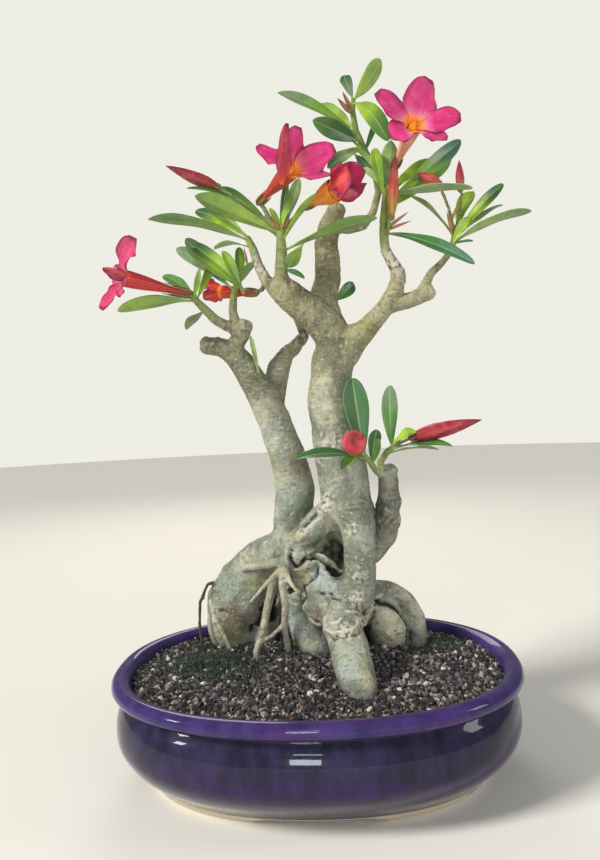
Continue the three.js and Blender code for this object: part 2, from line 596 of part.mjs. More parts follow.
place('pot', makePot(), GLAZE);
place('drain_screen_left', drainScreen(-1), MESH);
place('drain_screen_right', drainScreen(1), MESH);
place('soil', makeSoil(trunkRoom), SOIL);
place('trunk', limbs(WOODY), BARK);

for (const [name, patch] of Object.entries(MOSS_PATCHES)) {
  place(name, mossPatch(patch, trunkRoom), MOSS);
}
for (const [twig, leaves] of Object.entries(LEAVES)) {
  leaves.forEach((leaf, number) => {
    place(`leaf_${twig}_${number + 1}`, trim(leafSolid(leaf), trunkRoom), LEAF);
  });
}
for (const [name, flower] of Object.entries(FLOWERS)) {
  place(name, trim(flowerSolid(flower), trunkRoom), PETAL);
}
for (const [name, bud] of Object.entries(BUDS)) {
  place(name, trim(budSolid(bud), trunkRoom), BUD);
}

// The origin goes to the middle of the whole plant's footprint, on the surface it stands on.
const whole = new THREE.Box3().setFromObject(part);
const centre = whole.getCenter(new THREE.Vector3());
part.position.set(-centre.x, -centre.y, -whole.min.z);

export default part;
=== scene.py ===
# Looks of a potted desert rose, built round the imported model: glaze, grit, moss, bark, leaves,
# flowers and buds. Metres, in the model's own frame: +Z up, the pot's front towards -Y.

import math

import bmesh
import bpy
import numpy as np
from mathutils import Matrix, Vector, noise
from mathutils.bvhtree import BVHTree
from mathutils.kdtree import KDTree


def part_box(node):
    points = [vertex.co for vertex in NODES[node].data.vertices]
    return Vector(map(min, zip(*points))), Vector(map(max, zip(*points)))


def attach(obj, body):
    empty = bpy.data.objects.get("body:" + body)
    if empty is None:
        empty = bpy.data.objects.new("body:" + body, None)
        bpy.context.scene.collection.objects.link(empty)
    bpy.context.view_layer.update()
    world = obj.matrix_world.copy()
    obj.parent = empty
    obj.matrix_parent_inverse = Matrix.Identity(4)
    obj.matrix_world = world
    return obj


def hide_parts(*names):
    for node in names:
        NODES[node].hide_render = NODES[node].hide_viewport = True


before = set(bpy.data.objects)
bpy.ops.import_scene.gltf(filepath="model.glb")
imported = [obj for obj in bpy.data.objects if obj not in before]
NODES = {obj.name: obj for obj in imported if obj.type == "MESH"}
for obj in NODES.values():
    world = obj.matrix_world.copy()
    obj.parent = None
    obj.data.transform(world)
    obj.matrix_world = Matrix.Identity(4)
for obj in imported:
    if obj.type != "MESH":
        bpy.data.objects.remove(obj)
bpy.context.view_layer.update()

MM = 0.001
BODY = "root"
POT_LOW, POT_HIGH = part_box("pot")


def at(x, y, z):
    """A point given in millimetres from the middle of the pot's underside."""
    return Vector(((POT_LOW.x + POT_HIGH.x) / 2 + x * MM, (POT_LOW.y + POT_HIGH.y) / 2 + y * MM, z * MM))


# ---- Camera and light ----

LENS = 29.3
SENSOR = 36
EYE = at(20.7, -520.1, 267)
TURN, TILT, ROLL = (math.radians(a) for a in (2.78, -1.67, -2.42))

BACKDROP = (0.86, 0.85, 0.775)
AMBIENT = (0.21, 0.22, 0.235)
FLOOR_COLOUR = (0.74, 0.71, 0.64)
FLOOR_RADIUS = 4
FLOOR_SIDES = 96
SUN_FROM = (-1.0, -0.55, 0.85)
SUN_POWER = 3.4
SUN_COLOUR = (1, 0.975, 0.93)
SUN_SOFTNESS = math.radians(14)

# name: (place, aimed at, width, height, power, colour, whether the glaze mirrors it)
LIGHTS = {
    "window": (at(-120, -1400, 300), at(0, 0, 60), 0.17, 0.20, 3, (0.90, 0.95, 1), True),
    "window_high": (at(-110, -1400, 760), at(0, 0, 60), 0.17, 0.12, 1.2, (0.90, 0.95, 1), True),
    "window_left": (at(-1250, -640, 700), at(0, 0, 60), 0.16, 0.20, 4, (0.96, 0.98, 1), True),
    "window_right": (at(1350, -300, 700), at(0, 0, 100), 0.28, 0.40, 3, (0.95, 0.98, 1), True),
    "back": (at(-300, 1300, 1100), at(0, 0, 350), 0.8, 0.6, 7, (1, 0.97, 0.92), True),
    "fill": (at(700, -1300, 500), at(30, 0, 150), 1.2, 1.0, 7, (0.98, 0.99, 1), False),
}


def aim_camera():
    data = bpy.data.cameras.new("camera")
    data.sensor_fit = "VERTICAL"
    data.sensor_height = SENSOR
    data.lens = LENS
    camera = bpy.data.objects.new("camera", data)
    bpy.context.scene.collection.objects.link(camera)
    upright = Matrix.Rotation(math.pi / 2 + TILT, 4, "X")
    turned = Matrix.Rotation(TURN, 4, "Z") @ upright @ Matrix.Rotation(ROLL, 4, "Z")
    camera.matrix_world = Matrix.Translation(EYE) @ turned
    bpy.context.scene.camera = camera


def add_light(name, kind, power, colour, mirrored):
    data = bpy.data.lights.new(name, kind)
    data.energy = power
    data.color = colour
    lamp = bpy.data.objects.new(name, data)
    lamp.visible_glossy = mirrored
    bpy.context.scene.collection.objects.link(lamp)
    return lamp


def add_lights():
    sun = add_light("sun", "SUN", SUN_POWER, SUN_COLOUR, False)
    sun.data.angle = SUN_SOFTNESS
    sun.rotation_euler = Vector(SUN_FROM).to_track_quat("Z", "Y").to_euler()
    for name, (spot, target, width, height, power, colour, mirrored) in LIGHTS.items():
        lamp = add_light(name, "AREA", power, colour, mirrored)
        lamp.data.shape = "RECTANGLE"
        lamp.data.size = width
        lamp.data.size_y = height
        lamp.location = spot
        lamp.rotation_euler = (target - spot).to_track_quat("-Z", "Y").to_euler()


def add_surroundings():
    """A pale backdrop, which lights the object more softly than it shines to the eye."""
    world = bpy.data.worlds.new("studio")
    bpy.context.scene.world = world
    world.use_nodes = True
    tree = world.node_tree
    seen = tree.nodes["Background"]
    seen.inputs["Color"].default_value = (*BACKDROP, 1)
    soft = tree.nodes.new("ShaderNodeBackground")
    soft.inputs["Color"].default_value = (*AMBIENT, 1)
    path = tree.nodes.new("ShaderNodeLightPath")
    mix = tree.nodes.new("ShaderNodeMixShader")
    tree.links.new(path.outputs["Is Camera Ray"], mix.inputs[0])
    tree.links.new(soft.outputs[0], mix.inputs[1])
    tree.links.new(seen.outputs[0], mix.inputs[2])
    tree.links.new(mix.outputs[0], tree.nodes["World Output"].inputs["Surface"])

    bpy.ops.mesh.primitive_circle_add(vertices=FLOOR_SIDES, radius=FLOOR_RADIUS, fill_type="NGON")
    floor = bpy.context.object
    floor.name = "floor"
    paint = Shader("floor")
    paint.set("Base Color", (*FLOOR_COLOUR, 1))
    paint.set("Roughness", 0.9)
    floor.data.materials.append(paint.material)
    bpy.context.scene.view_settings.view_transform = "Standard"


# ---- Materials ----


class Shader:
    """A material, with short calls for the nodes that it is made of."""

    def __init__(self, name):
        self.material = bpy.data.materials.new(name)
        self.material.use_nodes = True
        self.tree = self.material.node_tree
        self.surface = self.tree.nodes["Principled BSDF"]
        self.place = self.tree.nodes.new("ShaderNodeTexCoord").outputs["Object"]

    def feed(self, socket, value):
        if isinstance(value, bpy.types.NodeSocket):
            self.tree.links.new(value, socket)
        else:
            socket.default_value = value

    def set(self, socket, value):
        """Sets one of the surface's sockets, to a plain value or to another node's output."""
        self.feed(self.surface.inputs[socket], value)

    def finish(self, colour, roughness, relief):
        """Sets what every surface here has, and gives back the finished material."""
        self.set("Base Color", colour)
        self.set("Roughness", roughness)
        self.set("Normal", relief)
        return self.material

    def scatter(self, weight, radius):
        """Lets light a little way into a thin living part."""
        self.set("Subsurface Weight", weight)
        self.set("Subsurface Scale", 0.002)
        self.set("Subsurface Radius", radius)

    def add(self, kind, inputs, **settings):
        node = self.tree.nodes.new("ShaderNode" + kind)
        for setting, value in settings.items():
            setattr(node, setting, value)
        for socket, value in inputs.items():
            self.feed(node.inputs[socket], value)
        return node

    def attribute(self, name, output="Fac"):
        return self.add("Attribute", {}, attribute_name=name).outputs[output]

    def height(self):
        return self.add("SeparateXYZ", {"Vector": self.place}).outputs["Z"]

    def noise(self, size, detail=3, rough=0.55, stretch=None):
        """Noise from 0 to 1 with lumps of about a size in metres."""
        place = self.place
        if stretch:
            place = self.add("Mapping", {"Vector": place, "Scale": stretch}).outputs[0]
        inputs = {"Vector": place, "Scale": 1 / size, "Detail": detail, "Roughness": rough}
        return self.add("TexNoise", inputs).outputs["Fac"]

    def cells(self, size):
        return self.add("TexVoronoi", {"Vector": self.place, "Scale": 1 / size}).outputs["Distance"]

    def math(self, operation, a, b):
        return self.add("Math", {0: a, 1: b}, operation=operation).outputs[0]

    def span(self, value, low, high, to_low=0.0, to_high=1.0):
        """A value carried from one span to another, smoothly and held at its ends."""
        inputs = {"Value": value, "From Min": low, "From Max": high, "To Min": to_low, "To Max": to_high}
        return self.add("MapRange", inputs, interpolation_type="SMOOTHSTEP").outputs["Result"]

    def mix(self, share, a, b):
        node = self.add("Mix", {"Factor": share}, data_type="RGBA")
        for socket, value in ((node.inputs[6], a), (node.inputs[7], b)):
            self.feed(socket, (*value, 1) if isinstance(value, tuple) else value)
        return node.outputs[2]

    def over(self, colour, *layers):
        """A colour under others, each (value, where it begins, where it is full, share, colour)."""
        for value, begins, full, share, shade in layers:
            colour = self.mix(self.span(value, begins, full, 0, share), colour, shade)
        return colour

    def bump(self, height, distance, strength, under=None):
        inputs = {"Height": height, "Distance": distance, "Strength": strength}
        if under is not None:
            inputs["Normal"] = under
        return self.add("Bump", inputs).outputs["Normal"]


def glaze_shader():
    """Deep violet glaze, brighter where it pools on the lip and darker on the body, with a more violet band
    low on the belly that is partly pooled glaze and partly a painted violet sheen.
    """
    s = Shader("violet_glaze")
    flow = s.noise(0.012, 4, 0.6, stretch=(1, 1, 0.35))
    drift = s.noise(0.030, 3, 0.5, stretch=(1, 1, 2.5))
    speck = s.noise(0.0012, 2)
    body = s.mix(s.span(flow, 0.35, 0.65), (0.014, 0.014, 0.028), (0.027, 0.021, 0.054))
    pooled_and_sheen = s.mix(s.span(flow, 0.35, 0.65), (0.024, 0.014, 0.050), (0.038, 0.018, 0.080))
    # a more violet band low on the belly: pooled glaze, and in part a painted violet sheen
    low = s.math("MULTIPLY", s.span(drift, 0.4, 0.6), s.span(s.height(), 0.060, 0.035))
    body = s.mix(low, body, pooled_and_sheen)
    lip = s.mix(s.span(flow, 0.3, 0.7), (0.026, 0.018, 0.076), (0.050, 0.030, 0.125))
    lip = s.over(lip, (drift, 0.5, 0.65, 0.6, (0.064, 0.022, 0.125)))
    colour = s.mix(s.attribute("lip"), body, lip)
    colour = s.over(colour, (speck, 0.62, 0.8, 0.3, (0.08, 0.05, 0.18)))
    s.set("Specular IOR Level", 0.05)
    s.set("Coat Weight", 0.75)
    s.set("Coat IOR", 1.33)
    s.set("Coat Roughness", 0.03)
    return s.finish(colour, s.span(flow, 0.3, 0.7, 0.16, 0.30), s.bump(flow, 0.0008, 0.15))


def clay_shader():
    """The bare fired clay of the foot."""
    s = Shader("bare_clay")
    grain = s.noise(0.0015, 4)
    colour = s.mix(grain, (0.42, 0.34, 0.23), (0.66, 0.58, 0.44))
    return s.finish(colour, 0.85, s.bump(grain, 0.0004, 0.5))


def screen_shader():
    s = Shader("drain_mesh_plastic")
    wear = s.noise(0.004)
    colour = s.mix(wear, (0.010, 0.011, 0.012), (0.035, 0.037, 0.038))
    return s.finish(colour, s.span(wear, 0.3, 0.7, 0.45, 0.65), s.bump(wear, 0.0003, 0.3))


def soil_shader():
    """The damp dark matter between the grains."""
    s = Shader("dark_soil")
    crumb = s.noise(0.002, 5, 0.7)
    colour = s.mix(crumb, (0.012, 0.010, 0.009), (0.06, 0.045, 0.036))
    return s.finish(colour, 0.95, s.bump(crumb, 0.001, 0.8))


def grit_shader():
    """Crushed stone, each grain of its own colour."""
    s = Shader("grit")
    dust = s.noise(0.0011, 3)
    colour = s.over(s.attribute("grain", "Color"), (dust, 0.3, 0.75, 0.6, (0.05, 0.042, 0.04)))
    return s.finish(colour, s.span(dust, 0.3, 0.7, 0.55, 0.9), s.bump(dust, 0.0005, 0.6))


def moss_shader():
    s = Shader("moss")
    patch = s.noise(0.009, 3)
    leafy = s.noise(0.0009, 2)
    green = s.mix(s.span(patch, 0.35, 0.65), (0.026, 0.040, 0.026), (0.066, 0.090, 0.054))
    colour = s.over(green, (leafy, 0.5, 0.8, 0.6, (0.125, 0.160, 0.085)))
    return s.finish(colour, 0.9, s.bump(leafy, 0.0006, 0.6))


def bark_shader():
    """Smooth grey-green bark with tan and blue-grey clouds, fine rings and pits, with painted shade that
    darkens its creases and painted light on its ridges.
    """
    s = Shader("bark")
    cloud = s.noise(0.030, 4, 0.6)
    blotch = s.noise(0.009, 4, 0.6)
    fleck = s.noise(0.0030, 4, 0.6)
    speck = s.noise(0.0012, 3, 0.6)
    pits = s.cells(0.0030)
    cool = s.mix(s.span(cloud, 0.38, 0.62), (0.150, 0.168, 0.122), (0.340, 0.348, 0.270))
    warm = s.mix(s.span(cloud, 0.38, 0.62), (0.130, 0.124, 0.050), (0.275, 0.256, 0.135))
    colour = s.over(
        s.mix(s.span(s.height(), 0.22, 0.36), cool, warm),
        (blotch, 0.54, 0.68, 0.5, (0.165, 0.205, 0.170)),
        (blotch, 0.46, 0.30, 0.7, (0.350, 0.315, 0.180)),
    )
    for patch, shade in (
        ("olive", (0.250, 0.225, 0.070)),
        ("blue", (0.330, 0.390, 0.375)),
        ("mossy", (0.070, 0.125, 0.055)),
        ("ruddy", (0.150, 0.075, 0.050)),
        # pale buff bark, laid on strongly as painted light on the ball that sits in shade
        ("buff_and_painted_light", (0.680, 0.640, 0.440)),
    ):
        colour = s.mix(s.math("MULTIPLY", s.attribute(patch), 0.9), colour, shade)
    colour = s.over(
        colour,
        (fleck, 0.56, 0.70, 0.6, (0.56, 0.53, 0.42)),
        (fleck, 0.44, 0.30, 0.55, (0.085, 0.080, 0.052)),
        (speck, 0.63, 0.74, 0.35, (0.66, 0.62, 0.52)),
        (speck, 0.37, 0.26, 0.7, (0.04, 0.036, 0.026)),
    )
    for patch, shade in (
        ("crust", s.mix(s.span(fleck, 0.42, 0.54), (0.11, 0.080, 0.055), (0.66, 0.60, 0.49))),
        ("pale", (0.46, 0.40, 0.27)),
        # dead, dark wood, also laid on as painted shade under the left root mass
        ("dead_wood_and_shade", (0.055, 0.046, 0.032)),
        ("young", (0.20, 0.27, 0.050)),
        ("rings", (0.075, 0.068, 0.045)),
        # painted highlight: pale on rounded ridges and raised carving
        ("painted_ridge_light", (0.54, 0.50, 0.39)),
        # painted shade: near-black where the bark is hollow, furrowed, meets the soil or lies in the dark
        # gaps
        ("crease", (0.014, 0.014, 0.010)),
    ):
        colour = s.mix(s.attribute(patch), colour, shade)
    relief = s.bump(s.span(pits, 0.1, 0.5), 0.0006, 0.5)
    relief = s.bump(blotch, 0.0020, 0.5, relief)
    relief = s.bump(fleck, 0.0010, 0.8, relief)
    return s.finish(colour, s.span(fleck, 0.3, 0.7, 0.5, 0.8), relief)


def leaf_shader():
    """A waxy blade: dark and glossy above, paler and duller below, with a pale midrib."""
    s = Shader("leaf")
    tint = s.attribute("tint", "Color")
    across = s.attribute("across")
    above = s.attribute("above")
    cloud = s.noise(0.010, 3)
    veins = s.attribute("veins")
    under = s.mix(0.40, tint, (0.26, 0.36, 0.12))
    colour = s.over(s.mix(above, under, tint), (cloud, 0.35, 0.7, 0.35, (0.018, 0.065, 0.022)))
    colour = s.over(
        s.mix(s.math("MULTIPLY", veins, 0.10), colour, (0.24, 0.34, 0.12)),
        (s.attribute("along"), 0.20, 0.0, 1, (0.24, 0.34, 0.08)),
        (across, 0.10, 0.03, 0.6, (0.32, 0.42, 0.19)),
        (across, 0.92, 1.0, 0.65, (0.34, 0.42, 0.15)),
    )
    s.set("Coat Weight", s.math("MULTIPLY", above, 0.25))
    s.set("Coat Roughness", 0.22)
    s.scatter(0.12, (0.4, 1.0, 0.2))
    relief = s.math("ADD", s.math("MULTIPLY", veins, 0.4), s.math("MULTIPLY", cloud, 0.6))
    return s.finish(colour, s.mix(above, (0.5, 0.5, 0.5), (0.36, 0.36, 0.36)), s.bump(relief, 0.0003, 0.35))


def petal_shader():
    """A velvety petal: its own tint, a warm throat, a deeper margin and fine streaks."""
    s = Shader("petal")
    tint = s.attribute("tint", "Color")
    along = s.attribute("along")
    across = s.attribute("across")
    streak = s.attribute("veins")
    cloud = s.noise(0.006, 3)
    deep = s.mix(0.65, tint, (0.20, 0.004, 0.035))
    colour = s.over(tint, (cloud, 0.40, 0.75, 0.40, (0.74, 0.13, 0.33)))
    colour = s.mix(s.math("MULTIPLY", streak, 0.30), colour, deep)
    colour = s.over(colour, (across, 0.72, 1.0, 1.0, (0.24, 0.006, 0.05)))
    back = s.over(colour, (across, 0.45, 0.0, 0.45, (0.80, 0.14, 0.06)))
    colour = s.over(
        s.mix(s.attribute("above"), back, colour),
        (along, 0.58, 0.28, 0.75, s.attribute("blush", "Color")),
        (along, 0.40, 0.24, 0.95, (0.90, 0.26, 0.015)),
        (along, 0.92, 1.0, 0.8, (0.13, 0.006, 0.02)),
    )
    s.set("Sheen Weight", 0.15)
    s.set("Sheen Roughness", 0.4)
    s.scatter(0.15, (1.0, 0.25, 0.35))
    return s.finish(colour, 0.5, s.bump(s.math("ADD", streak, cloud), 0.0004, 0.5))


def tube_shader():
    """The flower's tube: green-tinged at its foot, then its own tint, yellow inside."""
    s = Shader("flower_tube")
    streak = s.attribute("veins")
    cloud = s.noise(0.005, 3)
    colour = s.over(
        s.attribute("tint", "Color"),
        (cloud, 0.35, 0.7, 0.4, (0.40, 0.02, 0.015)),
        (streak, 0.6, 1.0, 0.30, (0.80, 0.32, 0.12)),
        (s.attribute("along"), 0.25, 0.02, 0.85, (0.20, 0.12, 0.03)),
    )
    lining = s.mix(s.span(streak, 0.45, 0.9), (0.90, 0.30, 0.01), (0.62, 0.06, 0.01))
    colour = s.mix(s.attribute("above"), colour, lining)
    s.scatter(0.12, (1.0, 0.3, 0.2))
    return s.finish(colour, 0.45, s.bump(s.math("ADD", streak, cloud), 0.0003, 0.4))


def bud_shader():
    """A furled bud, darker towards its tip, with the furrows of its folded petals."""
    s = Shader("bud")
    tint = s.attribute("tint", "Color")
    along = s.attribute("along")
    cloud = s.noise(0.005, 3)
    colour = s.over(
        tint,
        (cloud, 0.42, 0.72, 0.6, s.mix(0.5, tint, (0.62, 0.18, 0.13))),
        (along, 0.55, 0.15, 0.85, s.attribute("foot", "Color")),
        (along, 0.60, 1.0, 0.75, (0.085, 0.012, 0.02)),
    )
    colour = s.mix(s.math("MULTIPLY", s.attribute("veins"), 0.6), colour, (0.12, 0.008, 0.015))
    return s.finish(colour, 0.42, s.bump(cloud, 0.0003, 0.4))


# ---- Meshes ----


def loft(rings):
    """Points and faces of the closed skin over a row of rings with equal numbers of points."""
    rings = np.asarray(rings, float)
    rows, sides = rings.shape[:2]
    points = np.concatenate([rings.reshape(-1, 3), rings[[0, -1]].mean(axis=1)])
    here = np.arange((rows - 1) * sides).reshape(rows - 1, sides)
    after = np.roll(here, -1, axis=1)
    faces = np.stack([here, after, after + sides, here + sides], axis=-1).reshape(-1, 4).tolist()
    first, last = rows * sides, rows * sides + 1
    for side in range(sides):
        following = (side + 1) % sides
        faces.append([first, following, side])
        faces.append([last, first - sides + side, first - sides + following])
    return points, faces


def new_mesh(name, points, faces):
    mesh = bpy.data.meshes.new(name)
    mesh.from_pydata(points.tolist(), [], faces)
    return mesh


def paint(mesh, name, values):
    """Stores a number or a colour at each point of a mesh."""
    kind, field = "FLOAT", "value"
    if values.ndim == 2:
        kind, field = "FLOAT_COLOR", "color"
        values = np.column_stack([values, np.ones(len(values))])
    attribute = mesh.attributes.new(name, kind, "POINT")
    attribute.data.foreach_set(field, np.ascontiguousarray(values, np.float32).ravel())


def on_faces(mesh, operation):
    """Runs one of bmesh's operations on all of a mesh's faces."""
    solid = bmesh.new()
    solid.from_mesh(mesh)
    operation(solid, faces=solid.faces)
    solid.to_mesh(mesh)
    solid.free()


def turn_outward(mesh):
    on_faces(mesh, bmesh.ops.recalc_face_normals)


COLOURS = {"tint", "blush", "foot"}  # the attributes that are colours; the rest are numbers


class Shells:
    """Closed shells gathered into one mesh, with a value of each attribute at each point."""

    def __init__(self):
        self.points, self.faces, self.values, self.slots = [], [], {}, []
        self.count = 0

    def skin(self, rings, slot=0, **values):
        """Adds the skin over some rings, with each value spread out over the rings' points."""
        spread = {}
        for name, value in values.items():
            value = np.broadcast_to(value, rings.shape if name in COLOURS else rings.shape[:2])
            at_points = value.reshape(-1, *value.shape[2:])
            spread[name] = np.concatenate([at_points, value[[0, -1]].mean(axis=1)])
        self.add(*loft(rings), slot, **spread)

    def add(self, points, faces, slot=0, **values):
        self.points.append(points)
        self.faces.extend([[corner + self.count for corner in face] for face in faces])
        self.slots.extend([slot] * len(faces))
        self.count += len(points)
        for name, value in values.items():
            self.values.setdefault(name, []).append(value)

    def mesh(self, name):
        mesh = new_mesh(name, np.concatenate(self.points), self.faces)
        mesh.polygons.foreach_set("material_index", self.slots)
        for attribute, values in self.values.items():
            paint(mesh, attribute, np.concatenate(values))
        turn_outward(mesh)
        return mesh


def place(name, mesh, slot, nodes, materials, smooth=True):
    """Adds a mesh to the object, standing for the CAD nodes that it replaces."""
    piece = bpy.data.objects.new(name, mesh)
    bpy.context.scene.collection.objects.link(piece)
    for material in materials:
        mesh.materials.append(material)
    mesh.polygons.foreach_set("use_smooth", [smooth] * len(mesh.polygons))
    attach(piece, BODY)
    if nodes:
        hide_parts(*nodes)


def merged(node):
    """A CAD node's solid with its shared corners merged."""
    solid = bmesh.new()
    solid.from_mesh(NODES[node].data)
    bmesh.ops.remove_doubles(solid, verts=solid.verts, dist=1e-6)
    return solid


def corners(node):
    solid = merged(node)
    points = np.array([v.co for v in solid.verts])
    solid.free()
    return points


def surface_tree(node):
    solid = merged(node)
    tree = BVHTree.FromBMesh(solid)
    solid.free()
    return tree


def modified(mesh, kind, **settings):
    """A copy of a mesh as one of Blender's modifiers leaves it."""
    helper = bpy.data.objects.new("helper", mesh)
    bpy.context.scene.collection.objects.link(helper)
    modifier = helper.modifiers.new("helper", kind)
    for setting, value in settings.items():
        setattr(modifier, setting, value)
    graph = bpy.context.evaluated_depsgraph_get()
    result = bpy.data.meshes.new_from_object(helper.evaluated_get(graph))
    bpy.data.objects.remove(helper)
    return result


def remeshed(node, size):
    """A copy of a CAD node's solid with an even mesh of small faces."""
    solid = merged(node)
    mesh = bpy.data.meshes.new(node)
    solid.to_mesh(mesh)
    solid.free()
    return modified(mesh, "REMESH", mode="VOXEL", voxel_size=size)


def thinned(mesh, most):
    """The mesh with no more triangles than asked for, spent where the shape turns most."""
    on_faces(mesh, bmesh.ops.triangulate)
    return modified(mesh, "DECIMATE", ratio=min(1, most / len(mesh.polygons)))


def drilled(mesh, centre, radius, height):
    """The mesh with an upright round hole cut through it."""
    bpy.ops.mesh.primitive_cylinder_add(vertices=DRAIN_SIDES, radius=radius, depth=height, location=centre)
    cutter = bpy.context.object
    cut = modified(mesh, "BOOLEAN", object=cutter, solver="EXACT")
    bpy.data.objects.remove(cutter)
    return cut


def read(mesh, field):
    values = np.empty(len(mesh.vertices) * 3, np.float32)
    mesh.vertices.foreach_get(field, values)
    return values.reshape(-1, 3).astype(float)


def write(mesh, points):
    mesh.vertices.foreach_set("co", points.astype(np.float32).ravel())
    mesh.update()


class Spread:
    """Averages values over a mesh's neighbouring points."""

    def __init__(self, mesh, edge_weight=None):
        ends = np.empty(len(mesh.edges) * 2, np.int32)
        mesh.edges.foreach_get("vertices", ends)
        self.a, self.b = ends.reshape(-1, 2).T
        self.count = len(mesh.vertices)
        self.weight = np.ones(len(self.a)) if edge_weight is None else edge_weight
        self.total = self.sum_of(np.ones(self.count)[:, None])[:, 0]

    def sum_of(self, values):
        columns = []
        for column in values.T:
            onto_a = np.bincount(self.a, self.weight * column[self.b], self.count)
            columns.append(onto_a + np.bincount(self.b, self.weight * column[self.a], self.count))
        return np.column_stack(columns)

    def relax(self, values, rounds, share=0.5):
        """Moves each value towards its neighbours' mean, by a share that may differ by point."""
        flat = values.ndim == 1
        values = values[:, None] if flat else values
        share = np.broadcast_to(share, self.count)[:, None]
        for _ in range(rounds):
            near = self.sum_of(values) / np.maximum(self.total, 1e-9)[:, None]
            values = values + share * (near - values)
        return values[:, 0] if flat else values


def field(points, size, octaves=3):
    """Smooth noise, from about -1 to 1, with lumps of about a size in metres."""
    return np.array([noise.fractal(Vector(p / size), 0.9, 2.0, octaves) for p in points])


def smoothstep(value, low, high):
    t = np.clip((value - low) / (high - low), 0, 1)
    return t * t * (3 - 2 * t)


def turns(count):
    """Equal steps round a circle."""
    return np.arange(count) * 2 * math.pi / count


def unit(vector):
    return vector / np.linalg.norm(vector)


ODD_WAY = (0.31, 0.87, 0.38)


def crosswise(along):
    """A direction square to another one, which may not be the odd way itself."""
    return unit(np.cross(along, ODD_WAY))


def spokes(axis, across, angles):
    """Unit arrows that stand round an axis at the given angles."""
    return np.outer(np.cos(angles), across) + np.outer(np.sin(angles), np.cross(axis, across))


def sheet_grid(points_across):
    """Places across a thin sheet, once over its upper side and once back under its lower side."""
    over = np.linspace(-1, 1, 2 * points_across + 1)
    across = np.concatenate([over, over[-2:0:-1]])
    above = np.concatenate([np.ones(len(over)), np.zeros(len(over) - 2)])
    side = 2 * above - 1
    side[[0, len(over) - 1]] = 0
    return across, above, side


# ---- Pot ----

POT_LENGTH = (POT_HIGH.x - POT_LOW.x) / MM
POT_DEPTH = (POT_HIGH.y - POT_LOW.y) / MM
POT_SQUARENESS = 2.25
POT_SIDES = 288
BELLY_HEIGHT = 42
FRONT_UNDERCUT = 0.3
MIDDLE = 80
FOOT_HEIGHT = 6
FLOOR_TOP = 15
FOOT_GAP_LENGTH = 96
FOOT_GAP_HEIGHT = 4.5
FOOT_GAP_ENDS = 18
DRAIN_X = 55
DRAIN_RADIUS = 9
DRAIN_SIDES = 48
LIP_FOOT, LIP_FULL = 68.5 * MM, 72 * MM  # where the lip's own glaze begins and is full
WAVY_FROM, WAVY_TO = 4 * MM, 12 * MM  # the heights over which the wall's unevenness sets in
WAVES = 30 * MM
WAVE_DEPTH = 0.18 * MM
GLAZE_EDGE = 3.4  # the glaze stops this high up the foot, give or take the run of its edge
GLAZE_RUN = 0.35
GLAZE_RUN_SIZE = 9 * MM
BARE_UNDER = 6.7  # faces that look down below this height are bare

# The wall's section as [inset from the lip, height], from the middle of the underside, up the
# outside and over the lip, to the middle of the floor.
POT_SECTION = [
    [MIDDLE, FOOT_HEIGHT], [60, FOOT_HEIGHT], [44.5, FOOT_HEIGHT], [43, 5.2], [41.5, 1.2], [40, 0.2],
    [38, 0], [30, 0], [28.4, 0.3], [27.4, 1.6], [24, 8], [14, 19], [9.5, 24.6], [6, 30], [3.4, 36],
    [2.5, 42], [2.6, 48], [3.5, 54], [5.8, 60.5], [8.6, 64.8], [9.6, 66.6], [9.4, 68.2], [7.4, 69.5],
    [4.4, 70.2], [2, 71.2], [0.6, 73], [0, 75], [0.4, 77.4], [1.7, 79.4], [3.6, 80.6], [6, 81],
    [8.6, 80.6], [11.4, 79], [13, 77], [14, 72], [13.4, 62], [12, 48], [14, 34], [18, 26], [24, 19],
    [32, FLOOR_TOP], [50, FLOOR_TOP], [MIDDLE, FLOOR_TOP],
]
SECTION_STEPS = 4


def pot_outline(inset, height):
    """One closed outline of the pot, in metres, drawn in from the outer edge of its lip."""
    undercut = 1 + FRONT_UNDERCUT * max(0, (BELLY_HEIGHT - height) / BELLY_HEIGHT)
    cos, sin = np.cos(turns(POT_SIDES)), np.sin(turns(POT_SIDES))
    x = (POT_LENGTH / 2 - inset) * np.sign(cos) * np.abs(cos) ** (2 / POT_SQUARENESS)
    y = (POT_DEPTH / 2 - inset * undercut) * np.sign(sin) * np.abs(sin) ** (2 / POT_SQUARENESS)
    centre = at(0, 0, 0)
    return np.column_stack([centre.x + x * MM, centre.y + y * MM, np.full(POT_SIDES, height * MM)])


def rounded(section, steps):
    """The section with extra points between its own, on a curve that passes through them all."""
    points = np.array(section, float)
    padded = np.concatenate([2 * points[:1] - points[1:2], points, 2 * points[-1:] - points[-2:-1]])
    made = []
    for a, b, c, d in zip(padded, padded[1:], padded[2:], padded[3:]):
        for t in np.arange(steps) / steps:
            bend = (2 * a - 5 * b + 4 * c - d) * t * t + (3 * b - 3 * c + d - a) * t ** 3
            made.append((2 * b + (c - a) * t + bend) / 2)
    return np.array(made + [points[-1]])


def raise_foot_arch(points):
    """Lifts the foot clear of the ground between the pot's two feet."""
    x = np.abs(points[:, 0] - at(0, 0, 0).x) / MM
    half = FOOT_GAP_LENGTH / 2
    arch = FOOT_GAP_HEIGHT * smoothstep(half - x, 0, FOOT_GAP_ENDS) * MM
    points[:, 2] = np.maximum(points[:, 2], arch)


def make_wavy(points):
    """Draws the wall in and out a little, as a thrown and glazed wall is."""
    swirl = field(points, WAVES, 2)
    wall = smoothstep(points[:, 2], WAVY_FROM, WAVY_TO)
    outward = (points - np.array(at(0, 0, 0))) * (1, 1, 0)
    outward /= np.maximum(np.linalg.norm(outward, axis=1), 1e-9)[:, None]
    points -= outward * (WAVE_DEPTH * wall * (1 + swirl))[:, None]


